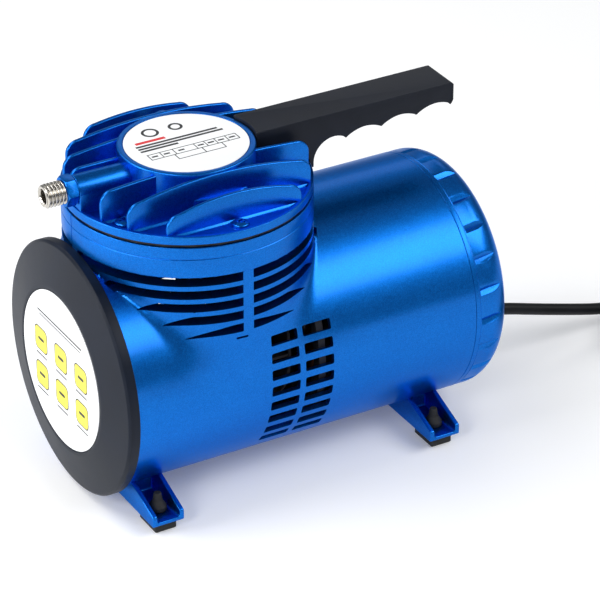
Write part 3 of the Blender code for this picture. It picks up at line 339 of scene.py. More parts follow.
class Shader:
    """A Principled material under construction."""

    def __init__(self, name, colour, roughness, metallic=0.0, **sockets):
        self.material = bpy.data.materials.new(name)
        self.material.use_nodes = True
        self.tree = self.material.node_tree
        self.bsdf = self.tree.nodes["Principled BSDF"]
        self.set("Base Color", (*colour, 1.0))
        self.set("Roughness", roughness)
        self.set("Metallic", metallic)
        for key, value in sockets.items():
            self.set(key.replace("_", " "), value)
        self.place = self.node("ShaderNodeTexCoord").outputs["Object"]

    def set(self, socket, value):
        """Gives a shader socket a constant."""
        self.bsdf.inputs[socket].default_value = value

    def node(self, kind, **settings):
        """Adds a node, with its properties and socket values."""
        node = self.tree.nodes.new(kind)
        for key, value in settings.items():
            if hasattr(node, key):
                setattr(node, key, value)
            else:
                node.inputs[key.replace("_", " ")].default_value = value
        return node

    def join(self, output, target):
        """Links an output to an input."""
        self.tree.links.new(output, target)

    def noise(self, scale, detail=3.0, roughness=0.55, stretch=None):
        """A noise value in the object's own coordinates."""
        place = self.place
        if stretch:
            mapping = self.node("ShaderNodeMapping", vector_type="POINT")
            mapping.inputs["Scale"].default_value = stretch
            self.join(place, mapping.inputs["Vector"])
            place = mapping.outputs["Vector"]
        node = self.node("ShaderNodeTexNoise", Scale=scale, Detail=detail, Roughness=roughness)
        self.join(place, node.inputs["Vector"])
        return node.outputs["Fac"]

    def cells(self, scale):
        """A random value for each cell of a Voronoi pattern."""
        node = self.node("ShaderNodeTexVoronoi", feature="F1", Scale=scale)
        self.join(self.place, node.inputs["Vector"])
        split = self.node("ShaderNodeSeparateColor")
        self.join(node.outputs["Color"], split.inputs["Color"])
        return split.outputs["Red"]

    def ramp(self, value, *stops):
        """Maps a value through colour stops, given as (position, colour)."""
        node = self.node("ShaderNodeValToRGB")
        elements = node.color_ramp.elements
        while len(elements) < len(stops):
            elements.new(0.5)
        for element, (position, colour) in zip(elements, stops):
            element.position = position
            if isinstance(colour, (int, float)):
                colour = (colour, colour, colour)
            element.color = (*colour, 1.0)
        self.join(value, node.inputs["Fac"])
        return node.outputs["Color"]

    def mix(self, factor, first, second, blend="MIX"):
        """Mixes two colours, each an output or a constant."""
        node = self.node("ShaderNodeMix", data_type="RGBA", blend_type=blend)
        for socket, value in ((node.inputs[0], factor), (node.inputs[6], first), (node.inputs[7], second)):
            if isinstance(value, bpy.types.NodeSocket):
                self.join(value, socket)
            elif isinstance(value, (int, float)):
                socket.default_value = value
            else:
                socket.default_value = (*value, 1.0)
        return node.outputs[2]

    def math(self, operation, first, second=0.5):
        """A maths node."""
        node = self.node("ShaderNodeMath", operation=operation)
        for socket, value in zip(node.inputs, (first, second)):
            if isinstance(value, bpy.types.NodeSocket):
                self.join(value, socket)
            else:
                socket.default_value = value
        return node.outputs[0]

    def colour(self, output):
        """Links a colour."""
        self.join(output, self.bsdf.inputs["Base Color"])

    def rough(self, value, low, high):
        """Maps a value to roughness between two limits."""
        node = self.node("ShaderNodeMapRange")
        node.inputs["To Min"].default_value = low
        node.inputs["To Max"].default_value = high
        self.join(value, node.inputs["Value"])
        self.join(node.outputs["Result"], self.bsdf.inputs["Roughness"])

    def bump(self, *heights):
        """Chains bumps, each given as (height, strength, distance)."""
        last = None
        for height, strength, distance in heights:
            node = self.node("ShaderNodeBump")
            node.inputs["Strength"].default_value = strength
            node.inputs["Distance"].default_value = distance
            self.join(height, node.inputs["Height"])
            if last is not None:
                self.join(last, node.inputs["Normal"])
            last = node.outputs["Normal"]
        self.join(last, self.bsdf.inputs["Normal"])


def toned(colour, factor, lift=0.0):
    """A lighter or darker tone of a colour."""
    return tuple(min(1.0, c * factor + lift) for c in colour)


def blue_paint(name="blue_paint", turned=False):
    """Metallic blue paint: fine bright flakes in a deep blue coat, over a slightly uneven casting."""
    s = Shader(name, (0.0, 0.145, 0.55), 0.34, 1.0, Coat_Weight=0.2, Coat_Roughness=0.18, Coat_IOR=1.45,
               Specular_Tint=(0.4, 0.65, 1.0, 1.0))
    flakes = s.cells(2600)
    tone = s.mix(flakes, (0.0, 0.108, 0.47), (0.004, 0.172, 0.64))
    drift = s.ramp(s.noise(38, 2.0), (0.3, (0.94, 0.95, 0.97)), (0.7, (1.0, 1.0, 1.0)))
    s.colour(s.mix(1.0, tone, drift, "MULTIPLY"))
    s.rough(flakes, 0.29, 0.4)
    heights = [(flakes, 0.09, 0.00008), (s.noise(900, 2.0), 0.12, 0.00008), (s.noise(55, 2.0), 0.08, 0.0006)]
    if turned:
        rings = s.noise(1.0, 3.0, 0.6, (1.5, 1.5, 1300.0))
        high = s.node("ShaderNodeSeparateXYZ")
        s.join(s.place, high.inputs["Vector"])
        on_band = s.math("GREATER_THAN", high.outputs["Z"], BAND_BOTTOM)
        heights.append((s.math("MULTIPLY", rings, on_band), 0.8, 0.00014))
    s.bump(*heights)
    return s.material


def black_moulding(name, colour, roughness, grain=2600):
    """Moulded black plastic with a fine spark-eroded grain."""
    s = Shader(name, colour, roughness, 0.0, Specular_IOR_Level=0.17)
    fine = s.noise(grain, 2.0)
    worn = s.noise(55, 3.0)
    s.colour(s.mix(s.ramp(worn, (0.35, 0.0), (0.75, 1.0)), colour, toned(colour, 1.35, 0.002)))
    s.rough(worn, roughness - 0.05, roughness + 0.07)
    s.bump((fine, 0.22, 0.00008), (s.noise(140, 2.0), 0.06, 0.0004))
    return s.material


def rubber(name):
    """Black rubber, dull and faintly dusty."""
    colour = (0.009, 0.009, 0.0095)
    s = Shader(name, colour, 0.72)
    dust = s.noise(180, 4.0, 0.65)
    s.colour(s.mix(s.ramp(dust, (0.5, 0.0), (0.8, 1.0)), colour, toned(colour, 2.2, 0.004)))
    s.rough(dust, 0.6, 0.85)
    s.bump((s.noise(1900, 3.0), 0.3, 0.0001), (dust, 0.1, 0.0003))
    return s.material


def metal(name, colour, roughness, stretch=(1.0, 1.0, 1.0), scale=900):
    """Machined or plated metal with fine tool marks along one direction."""
    s = Shader(name, colour, roughness, 1.0)
    marks = s.noise(scale, 3.0, 0.6, stretch)
    stain = s.noise(120, 3.0)
    s.colour(s.mix(s.ramp(stain, (0.35, 0.0), (0.75, 1.0)), toned(colour, 0.78), colour))
    s.rough(marks, max(0.05, roughness - 0.1), roughness + 0.14)
    s.bump((marks, 0.25, 0.00005))
    return s.material


def cast_metal(name, colour, roughness):
    """A sand-blasted casting."""
    s = Shader(name, colour, roughness, 1.0)
    grit = s.noise(1200, 4.0, 0.7)
    s.colour(s.mix(grit, toned(colour, 0.6), colour))
    s.rough(grit, roughness - 0.08, roughness + 0.15)
    s.bump((grit, 0.4, 0.00015), (s.noise(150, 2.0), 0.1, 0.0004))
    return s.material


def paper(name):
    """A glossy printed film, very slightly uneven."""
    colour = (0.86, 0.875, 0.885)
    s = Shader(name, colour, 0.3, 0.0, Coat_Weight=0.4, Coat_Roughness=0.12)
    haze = s.noise(70, 3.0)
    s.colour(s.mix(haze, toned(colour, 0.965), toned(colour, 1.02)))
    s.rough(haze, 0.24, 0.38)
    s.bump((s.noise(40, 2.0), 0.08, 0.0003))
    return s.material


def ink(name, colour):
    """Printing ink on the film, with a little screen mottle."""
    s = Shader(name, colour, 0.4)
    s.colour(s.mix(s.noise(1600, 2.0), toned(colour, 0.85), toned(colour, 1.1)))
    s.bump((s.noise(1600, 2.0), 0.1, 0.00003))
    return s.material


def winding_wire(name):
    """Varnished copper wire, wound round the ring."""
    s = Shader(name, (0.45, 0.16, 0.05), 0.32, 0.9, Coat_Weight=0.5, Coat_Roughness=0.2)
    wires = s.noise(1.0, 2.0, 0.5, (900.0, 900.0, 900.0))
    # Painted shade: the wire colours are far darker than varnished copper, for the dark inside of the motor.
    s.colour(s.mix(wires, (0.05, 0.014, 0.006), (0.16, 0.055, 0.02)))
    s.bump((wires, 0.6, 0.0003))
    return s.material


def laminations(name):
    """Stacked sheet steel: fine lines across the motor axis."""
    s = Shader(name, (0.2, 0.2, 0.21), 0.45, 0.9)
    sheets = s.noise(1.0, 1.0, 0.5, (4.0, 1700.0, 4.0))
    # Painted shade: the sheet colours are far darker than bare sheet steel, for the dark inside of the motor.
    s.colour(s.mix(sheets, (0.03, 0.03, 0.033), (0.1, 0.1, 0.105)))
    s.rough(sheets, 0.35, 0.6)
    s.bump((sheets, 0.5, 0.0002))
    return s.material


def felt(name):
    """Pressed felt."""
    s = Shader(name, (0.72, 0.69, 0.6), 0.95, 0.0, Sheen_Weight=0.4)
    fibres = s.noise(1300, 4.0, 0.75)
    s.colour(s.mix(fibres, (0.5, 0.47, 0.4), (0.82, 0.79, 0.7)))
    s.bump((fibres, 0.7, 0.0003))
    return s.material


def gloss_plastic(name, colour):
    """Smooth moulded plastic with slight sink marks."""
    s = Shader(name, colour, 0.25)
    sink = s.noise(90, 2.0)
    s.colour(s.mix(sink, toned(colour, 0.8), colour))
    s.rough(sink, 0.2, 0.34)
    s.bump((sink, 0.08, 0.0004))
    return s.material


def give(obj, *materials):
    """Sets an object's materials."""
    obj.data.materials.clear()
    for material in materials:
        obj.data.materials.append(material)
    return obj


def piece(obj, material, slot_name, *nodes, body="machine"):
    """Finishes a visual piece: material, the body that it rides on and what it stands for. The slot name is
    not used.
    """
    give(obj, material)
    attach(obj, body)
    if nodes:
        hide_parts(*nodes)
    return obj


# ---------------------------------------------------------------- view and light

def add_camera():
    """The camera, level with the horizon and aimed at the machine."""
    data = bpy.data.cameras.new("view")
    data.lens = LENS
    data.sensor_width = 36.0
    data.clip_end = 20.0
    camera = link(bpy.data.objects.new("view", data))
    out = Vector((math.sin(VIEW_AZIMUTH) * math.cos(VIEW_ELEVATION),
                  -math.cos(VIEW_AZIMUTH) * math.cos(VIEW_ELEVATION), math.sin(VIEW_ELEVATION)))
    camera.location = TARGET + out * VIEW_DISTANCE
    camera.rotation_euler = (-out).to_track_quat("-Z", "Y").to_euler()
    bpy.context.scene.camera = camera


def area_light(name, place, aim, size, power):
    """A soft rectangular light."""
    data = bpy.data.lights.new(name, "AREA")
    data.shape = "RECTANGLE"
    data.size, data.size_y = size
    data.energy = power
    light = link(bpy.data.objects.new(name, data))
    light.location = place
    light.rotation_euler = (Vector(aim) - Vector(place)).to_track_quat("-Z", "Y").to_euler()


def add_studio():
    """A pale floor and soft studio light."""
    floor = mesh_object("floor", [(-4, -4, 0), (4, -4, 0), (4, 4, 0), (-4, 4, 0)], [(0, 1, 2, 3)],
                        Matrix.Translation((0, 0, -0.0002)))
    s = Shader("floor_white", (0.94, 0.94, 0.94), 0.6, Emission_Color=(1, 1, 1, 1), Emission_Strength=0.12)
    s.colour(s.mix(s.noise(3.0), (0.935, 0.935, 0.935), (0.945, 0.945, 0.945)))
    give(floor, s.material)
    bpy.context.scene.view_settings.view_transform = "Standard"
    world = bpy.data.worlds.new("studio")
    bpy.context.scene.world = world
    world.use_nodes = True
    background = world.node_tree.nodes["Background"]
    background.inputs["Color"].default_value = (0.94, 0.97, 1.0, 1.0)
    background.inputs["Strength"].default_value = 0.25
    area_light("rear_softbox", (0.95, 1.0, 1.35), (0, 0, 0.08), (1.7, 0.8), 20)
    area_light("key", (1.0, -1.5, 1.1), (0, 0, 0.1), (0.5, 0.8), 13)
    area_light("low_front", (-0.45, -1.45, 0.55), (0, -0.05, 0.1), (0.8, 0.6), 12)
    area_light("left", (-1.3, -0.5, 1.3), (0, 0, 0.1), (0.7, 0.7), 6)
    area_light("back_left", (-1.7, 1.1, 1.1), (0, 0, 0.15), (1.2, 0.5), 2.2)
    area_light("front_wash", (-0.1, -0.75, 1.0), (-0.1, -0.6, 0), (0.5, 0.5), 5)


# ---------------------------------------------------------------- lead and plug

def smooth_through(points, per_span):
    """A Catmull-Rom curve through points in millimetres."""
    points = [Vector(p) for p in points]
    padded = [2 * points[0] - points[1]] + points + [2 * points[-1] - points[-2]]
    result = []
    for a, b, c, d in zip(padded, padded[1:], padded[2:], padded[3:]):
        for step in range(per_span):
            t = step / per_span
            result.append(0.5 * (2 * b + (c - a) * t + (2 * a - 5 * b + 4 * c - d) * t ** 2
                                 + (3 * b - a - 3 * c + d) * t ** 3))
    result.append(points[-1])
    return result


def ease(travel, start, length):
    """A smooth step from 0 to 1 over a stretch of the travel."""
    t = min(max((travel - start) / length, 0.0), 1.0)
    return t * t * (3 - 2 * t)


def coil_points(start, turns_made):
    """The middle of the lead round the coil. Each change to the next turn comes late in a turn, and
    each change of layer comes before that, so the lead never passes through itself."""
    points = []
    steps = int(turns_made * TURN_STEPS)
    for i in range(steps + 1):
        travel = turns_made * i / steps
        turn = min(int(travel), len(TURNS) - 1)
        share = travel - turn
        r, z = TURNS[turn]
        if turn + 1 < len(TURNS):
            nr, nz = TURNS[turn + 1]
            if nz > z:
                r += (nr - r) * ease(share, *CLIMB_RADIUS)
                z += (nz - z) * ease(share, *CLIMB_HEIGHT)
            else:
                r += (nr - r) * ease(share, *NEXT_RADIUS)
        if travel < ARRIVAL:
            arriving = 1 - ease(travel, 0.0, ARRIVAL)
            r += (LEAD_IN[0] - TURNS[0][0]) * arriving
            z += (LEAD_IN[1] - TURNS[0][1]) * arriving
        leaving = travel - (turns_made - LEAVING)
        if leaving > 0:
            r += (LEAD_OUT[0] - TURNS[-1][0]) * ease(leaving, *LEAVING_RADIUS)
            z += (LEAD_OUT[1] - TURNS[-1][1]) * ease(leaving, *LEAVING_HEIGHT)
        a = start - 2 * math.pi * travel
        points.append(Vector((COIL_CENTRE[0] + r * math.cos(a), COIL_CENTRE[1] + r * math.sin(a), z)))
    return points


def lead_centreline():
    """The whole lead: the run from the strain relief, the coil and the tail to the plug."""
    run = smooth_through(LEAD_ROUTE, 4)
    tail = smooth_through(TAIL_ROUTE, 4)
    into = run[-1] - Vector((*COIL_CENTRE, 0))
    start = math.atan2(into.y, into.x)
    out = tail[0] - Vector((*COIL_CENTRE, 0))
    whole = len(TURNS) - 1
    turns_made = whole + ((start - math.atan2(out.y, out.x)) % (2 * math.pi)) / (2 * math.pi)
    coil = coil_points(start, turns_made)
    points = run[:-1] + coil[1:-2] + tail
    return relaxed(points)


def relaxed(points, rounds=3):
    """Evens out small kinks where the stretches of the lead meet."""
    line = [p.copy() for p in points]
    for _ in range(rounds):
        line = [line[0]] + [(a + 2 * b + c) / 4 for a, b, c in zip(line, line[1:], line[2:])] + [line[-1]]
    return [p * MM for p in line]


def tube_curve(name, points, radius, resolution=4):
    """A round tube as one open curve."""
    curve = bpy.data.curves.new(name, "CURVE")
    curve.dimensions = "3D"
    curve.bevel_depth = radius
    curve.bevel_resolution = resolution
    curve.use_fill_caps = True
    spline = curve.splines.new("POLY")
    spline.points.add(len(points) - 1)
    for target, point in zip(spline.points, points):
        target.co = (*point, 1)
    return link(bpy.data.objects.new(name, curve))


def add_lead():
    """The lead with its strain relief and plug."""
    pvc = black_moulding("lead_pvc", (0.006, 0.0065, 0.008), 0.42, 1800)
    seat = CAP_END_Y + 0.3 * MM
    outline = [(0, RELIEF_END_Y), (4.2 * MM, RELIEF_END_Y, 0.5 * MM)]
    for k in range(7):
        y = RELIEF_END_Y - (3.2 + 3.6 * k) * MM
        r = (4.45 + 0.26 * k) * MM
        outline += [(r, y, 0.2 * MM), (r - 0.75 * MM, y - 0.4 * MM, 0.2 * MM),
                    (r - 0.7 * MM, y - 1.5 * MM, 0.2 * MM), (r + 0.1 * MM, y - 1.9 * MM, 0.2 * MM)]
    outline += [(6.3 * MM, seat + 2.6 * MM, 0.6 * MM), (8.5 * MM, seat + 2.3 * MM, 0.7 * MM),
                (8.5 * MM, seat, 0.2 * MM), (5.6 * MM, seat), (5.6 * MM, CAP_END_Y - 10 * MM, 0.4 * MM),
                (0, CAP_END_Y - 10 * MM)]
    relief = lathe("lead_relief", rounded(outline), about_motor(0, 0, CORD_Z), 64)
    piece(shade(relief), pvc, "cord_pvc", "strain_relief")
    plug_objects = add_plug(pvc)
    points = lead_centreline()
    lead = tube_curve("mains_lead", points, CORD_D / 2)
    lead.data.materials.append(pvc)
    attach(lead, "machine")
    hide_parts("power_cord", "cord_coil", "cord_tail")
    tie = tube_curve("coil_tie", tie_points(), 0.9 * MM, 3)
    tie.data.materials.append(rubber("tie_rubber"))
    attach(tie, "machine")


def tie_points():
    """A twist tie round the coil's cross-section, on the side away from the plug."""
    angle = math.radians(150)
    out = Vector((math.cos(angle), math.sin(angle), 0))
    centre = Vector((*COIL_CENTRE, 0)) * MM + out * 38.7 * MM + Vector((0, 0, 10.4 * MM))
    points = []
    for k in range(41):
        a = 2 * math.pi * k / 40
        c, s = math.cos(a), math.sin(a)
        scale = (abs(c) ** 4 + abs(s) ** 4) ** -0.25
        points.append(centre + out * (c * scale * 10.9 * MM) + Vector((0, 0, s * scale * 9.4 * MM)))
    return points


def add_plug(pvc):
    """A two-pin moulded plug with grip ridges, and its pins."""
    back, thick = PLUG_BACK, 13.6 * MM
    half = 12.6 * MM
    outline = [(-3.8, 0), (3.8, 0), (4.6, -4), (6.2, -9), (9.5, -14), (12.3, -19), (12.7, -24), (12.7, -34),
               (-12.7, -34), (-12.7, -24), (-12.3, -19), (-9.5, -14), (-6.2, -9), (-4.6, -4)]
    outline = [(x * 0.99 * MM, y * MM) for x, y in outline]
    lie = Matrix.Translation((back.x, back.y, thick / 2 + 0.3 * MM))
    ridges = [slab("plug_shell", outline, thick, lie, 2.6 * MM, 5, 25)]
    for k in range(4):
        y = -19 * MM - 2.6 * MM * k
        ridges.append(box("ridge", (-half + 3 * MM, y - 0.5 * MM, -thick / 2),
                          (half - 3 * MM, y + 0.5 * MM, thick / 2 + 0.5 * MM), lie, 0.25 * MM, 2))
    made = [piece(shade(joined("plug_shell", ridges)), pvc, "cord_pvc", "plug_body")]
    steel = metal("pin_nickel", (0.72, 0.7, 0.66), 0.22, (1, 0.1, 1))
    start = back.y - 34.3 * MM
    for name, side in (("plug_pin_left", -1), ("plug_pin_right", 1)):
        pin = [(0, start), (2.0 * MM, start), (2.4 * MM, start - 1 * MM, 0.2 * MM),
               (2.4 * MM, start - 17.5 * MM, 1.6 * MM), (1.0 * MM, start - 19 * MM, 0.6 * MM),
               (0, start - 19 * MM)]
        place = about_motor(0, back.x + side * 9.5 * MM, thick / 2 + 0.3 * MM)
        turned = lathe(name + "_turned", rounded(pin), place, 40)
        made.append(piece(shade(turned), steel, "plug_brass", name))
    return made


# ---------------------------------------------------------------- housing

def vent_cutters():
    """Rounded boxes for the two columns of openings on each side."""
    cutters = []
    for row in range(VENT_ROWS):
        for side in (-1, 1):
            turn = spin((VENT_FIRST + VENT_STEP * row) * side, "Y")
            for low, high in VENT_COLUMNS:
                outline = rounded_rectangle(low, -VENT_HALF, high, VENT_HALF, 0.9 * MM)
                tool = slab("vent", outline, 16 * MM)
                tool.data.transform(facing_x(side * 66 * MM))
                tool.data.transform(Matrix.Translation((0, 0, AXIS_Z)) @ turn)
                cutters.append(tool)
    return cutters


def rounded_rectangle(x0, y0, x1, y1, radius, count=3):
    """The outline of a rectangle with round corners."""
    outline = []
    for cx, cy, a in ((x1 - radius, y0 + radius, -90), (x1 - radius, y1 - radius, 0),
                      (x0 + radius, y1 - radius, 90), (x0 + radius, y0 + radius, 180)):
        outline += arc((cx, cy), radius, a, a + 90, count)
    return outline


def casting_reach(angles, offset):
    """Distance from the motor axis to the outside of the casting in each direction, at one distance
    along the axis from the pump: the motor tube and the pump's barrel, blended by a fillet."""
    across, rise = np.abs(np.cos(angles)), np.sin(angles)
    low, high = np.full_like(angles, 0.8 * BODY_R), np.full_like(angles, 2.0 * BODY_R)
    for _ in range(32):
        middle = (low + high) / 2
        inside = np.hypot(middle * across, offset) < HEAD_R
        low, high = np.where(inside, middle, low), np.where(inside, high, middle)
    square = np.sqrt(1 - (across ** 2) * max(0.0, 1 - (offset / HEAD_R) ** 2))
    low = np.where(rise < 0, np.minimum(low, BODY_R), low)
    fade = np.clip((rise + 0.1) / 0.4, 0, 1)
    blend = FILLET * square * across ** 3 * fade * fade * (3 - 2 * fade) + 1e-6
    share = np.clip(blend - np.abs(low - BODY_R), 0, None) / blend
    reach = np.maximum(low, BODY_R) + share ** 2 * blend / 4
    ceiling = (BAND_BOTTOM - AXIS_Z + 0.5 * MM) / np.maximum(rise, 0.01)
    return np.minimum(reach, ceiling)


def casting_shell():
    """The outside of the casting as one closed skin, filled solid."""
    angles = np.radians(np.concatenate([np.linspace(0, 180, 161)[:-1], np.linspace(180, 360, 61)[:-1]]))
    spread = 1.02 * HEAD_R * np.sin(np.linspace(-math.pi / 2, math.pi / 2, 101))
    stations = [BODY_FRONT_Y, *(HEAD_Y + spread), CAP_JOIN_Y]
    verts, faces = [], []
    for y in stations:
        reach = casting_reach(angles, y - HEAD_Y)
        verts += [(r * math.cos(a), y, AXIS_Z + r * math.sin(a)) for r, a in zip(reach, angles)]
    count = len(angles)
    for i in range(len(stations) - 1):
        for k in range(count):
            n = (k + 1) % count
            faces.append((i * count + k, (i + 1) * count + k, (i + 1) * count + n, i * count + n))
    faces.append(tuple(range(count)))
    faces.append(tuple(reversed(range(len(verts) - count, len(verts)))))
    return outward(mesh_object("shell", verts, faces))


def slot_cutter(top, side, turn, edge, tip, fall):
    """One air slot, from the rib round to its tip, where its roof comes down to its floor."""
    outer, inner, steps = HEAD_R + 1.8 * MM, 57.0 * MM, 44
    first = math.degrees(math.asin(edge / HEAD_R))
    verts, faces = [], []
    for k in range(steps + 1):
        angle = first + (tip - first) * k / steps
        drop = max(0.0, (angle - (tip - fall)) / fall) ** 1.3
        low, high = top - SLOT_HEIGHT, top - (SLOT_HEIGHT - 0.25 * MM) * drop
        x, y = polar(1.0, angle)
        for r, z in ((inner, low), (outer, low), (outer, high), (inner, high)):
            verts.append((side * r * x, HEAD_Y + turn * r * y, z))
        if k < steps:
            here, ahead = 4 * k, 4 * k + 4
            faces += [[here + j, here + (j + 1) % 4, ahead + (j + 1) % 4, ahead + j] for j in range(4)]
    faces += [(0, 1, 2, 3), (4 * steps + 3, 4 * steps + 2, 4 * steps + 1, 4 * steps)]
    return outward(mesh_object("slot", verts, faces))


def slot_cutters():
    """The rows of air slots round the barrel, each in two halves with a rib between them."""
    cutters = []
    for row, (front_tip, rear_tip, fall) in enumerate(SLOT_TIPS):
        top = BAND_BOTTOM - row * SLOT_PITCH
        for side in (-1, 1):
            cutters.append(slot_cutter(top, side, -1, 3.2 * MM, front_tip, fall))
            cutters.append(slot_cutter(top, side, 1, 2.8 * MM, rear_tip, fall))
    for side in (-1, 1):
        outline = rounded_rectangle(-7.4 * MM, -0.6 * MM, -0.5 * MM, 0.6 * MM, 0.5 * MM)
        notch = slab("notch", outline, 5 * MM)
        notch.data.transform(facing_x(side * 65.5 * MM, HEAD_Y, AXIS_Z + 33.2 * MM))
        cutters.append(notch)
    return cutters


def add_housing():
    """The housing as cast: motor tube, slotted barrel, band and legs."""
    edge = 0.5 * MM
    tube = casting_shell()
    bore = bar("bore", BORE_R, BODY_FRONT_Y - 20 * MM, CAP_JOIN_Y + 20 * MM, about_motor(), 150)
    crank_space = bar("crank_space", 59.0 * MM, AXIS_Z + 10 * MM, AXIS_Z + 90 * MM, about_head(), 150)
    boolean(tube, [bore, crank_space, joined("slots", slot_cutters()), joined("vents", vent_cutters())])
    parts = [tube]
    groove = 0.35 * MM
    band = [(HEAD_R - 14.5 * MM, BAND_TOP), (HEAD_R, BAND_TOP, 0.4 * MM),
            (HEAD_R, BAND_TOP - 6.6 * MM, 0.1 * MM), (HEAD_R - groove, BAND_TOP - 6.9 * MM, 0.1 * MM),
            (HEAD_R, BAND_TOP - 7.2 * MM, 0.1 * MM), (HEAD_R, BAND_BOTTOM, edge),
            (60 * MM, BAND_BOTTOM, edge), (52 * MM, BAND_BOTTOM + 4 * MM)]
    parts.append(lathe("band", rounded(band), about_head(), 192, ring=True))
    for centre in LEG_CENTRES:
        parts.append(leg(centre))
    housing = shade(joined("housing_casting", parts), 35)
    piece(housing, blue_paint(turned=True), "blue_paint", "body_housing")
    seam = box("band_seam", (-0.3 * MM, -0.2 * MM, BAND_BOTTOM + 2.5 * MM),
               (0.3 * MM, 0.12 * MM, BAND_TOP - 0.4 * MM), None, 0.1 * MM)
    x, y = polar(HEAD_R, -93)
    seam.data.transform(Matrix.Translation((x, HEAD_Y + y, 0)) @ spin(-3, "Z"))
    piece(shade(seam), blue_paint("blue_paint_seam"), "blue_paint")


def leg(centre):
    """A saddle with an open channel at each end, for the rubber feet."""
    reach = 66.3 * MM
    shoulder, root = AXIS_Z - 62.0 * MM, AXIS_Z - 48.0 * MM
    outline = [(-reach, FLOOR_GAP), (reach, FLOOR_GAP), (reach, shoulder), (28 * MM, root),
               (-28 * MM, root), (-reach, shoulder)]
    outline = rounded([(x, y, 1.6 * MM) for x, y in shifted(outline, 1.0)])
    outline = [(x - 1.0, y) for x, y in outline]
    saddle = slab("leg", outline, LEG_WIDTH, facing_y(0, centre))
    inside = LEG_WIDTH / 2 - 2.6 * MM
    low = FLOOR_GAP + 2.5 * MM
    tools = []
    for side in (-1, 1):
        near, far = sorted((side * 34 * MM, side * (reach + 6 * MM)))
        tools.append(box("channel", (near, centre - inside, low), (far, centre + inside, AXIS_Z),
                         None, 1.4 * MM))
        tools.append(bar("hole", 4.3 * MM, 0, 2 * FLOOR_GAP, about_head(side * FOOT_X, centre), 40))
    boolean(saddle, tools)
    boolean(saddle, [bar("bore", 65.5 * MM, centre - 20 * MM, centre + 20 * MM, about_motor(), 120)])
    return soften(saddle, 0.55 * MM, 3, 40)


def shifted(outline, offset):
    """Moves an outline sideways, so that no point is on the axis."""
    return [(x + offset, y) for x, y in outline]


def add_front_cover():
    """The black end cover with its label."""
    face, front = COVER_FACE_Y, BODY_FRONT_Y - 0.3 * MM
    inner, lip = BORE_R - 0.3 * MM, BODY_R + 0.3 * MM
    outline = [(0, face + 0.5 * MM), (FRONT_LABEL_R + 0.25 * MM, face + 0.5 * MM, 0.1 * MM),
               (FRONT_LABEL_R + 0.75 * MM, face, 0.25 * MM), (47 * MM, face, 6 * MM),
               (COVER_R - 1.3 * MM, COVER_RIM_Y, 1.6 * MM), (COVER_R, COVER_RIM_Y + 1.2 * MM, 1.0 * MM),
               (COVER_R, COVER_LIP_Y, 0.4 * MM), (lip, COVER_LIP_Y), (lip, front), (inner, front),
               (inner, front + 7 * MM), (inner - 2.5 * MM, front + 7 * MM),
               (inner - 2.5 * MM, front - 0.2 * MM), (47 * MM, face + 3.2 * MM), (0, face + 3.2 * MM)]
    disc = lathe("end_cover", rounded(outline, 8), about_motor(), 192)
    plastic = black_moulding("cover_plastic", (0.003, 0.006, 0.014), 0.42)
    piece(shade(disc), plastic, "black_plastic", "front_cover")
    label = lathe("front_film", rounded([(0, 0.34 * MM), (FRONT_LABEL_R - 0.2 * MM, 0.34 * MM, 0.08 * MM),
                                         (FRONT_LABEL_R - 0.2 * MM, -0.1 * MM), (0, -0.1 * MM)]),
                  facing_front(), 160)
    piece(shade(label), paper("front_film_print"), "label_film", "front_label")
    print_front(0.36 * MM)


def facing_front():
    """A frame on the end cover's face: X is world +X, Y is up and Z points out of the face."""
    return Matrix(((1, 0, 0, 0), (0, 0, -1, COVER_FACE_Y + 0.3 * MM), (0, 1, 0, AXIS_Z), (0, 0, 0, 1)))


def thin(name, outline, height, matrix):
    """A printed shape, a few hundredths of a millimetre thick."""
    return slab(name, outline, 0.03 * MM, matrix @ Matrix.Translation((0, 0, height)))


def print_front(height):
    """Plain printed marks on the front label: six soft yellow pads with dark edges, bars and a line."""
    pads, dark = [], []

    def pad(store, x, y, half, radius, lift):
        store.append(thin("pad", rounded_rectangle((x - half) * MM, (y - half) * MM, (x + half) * MM,
                                                   (y + half) * MM, radius * MM, 6), lift, facing_front()))

    def strip(x, y, half_width, half_height, lift):
        dark.append(thin("bar", rounded_rectangle((x - half_width) * MM, (y - half_height) * MM,
                                                  (x + half_width) * MM, (y + half_height) * MM,
                                                  half_height * 0.9 * MM), lift, facing_front()))

    for y in (7.5, -14.5):
        for x in (-23.0, 0.5, 24.0):
            pad(dark, x, y, 7.4, 3.4, height)
            pad(pads, x, y, 6.7, 2.9, height + 0.03 * MM)
            strip(x, y, 3.4, 0.9, height + 0.06 * MM)
            strip(x, y - 9.8, 6.4, 0.45, height)
    strip(0, 25.6, 26, 0.55, height)
    strip(0, 23.4, 24, 0.35, height)
    piece(joined("front_pads", pads), ink("ink_yellow", (0.85, 0.75, 0.06)), "label_film")
    piece(joined("front_bars", dark), ink("ink_dark", (0.008, 0.008, 0.01)), "label_film")


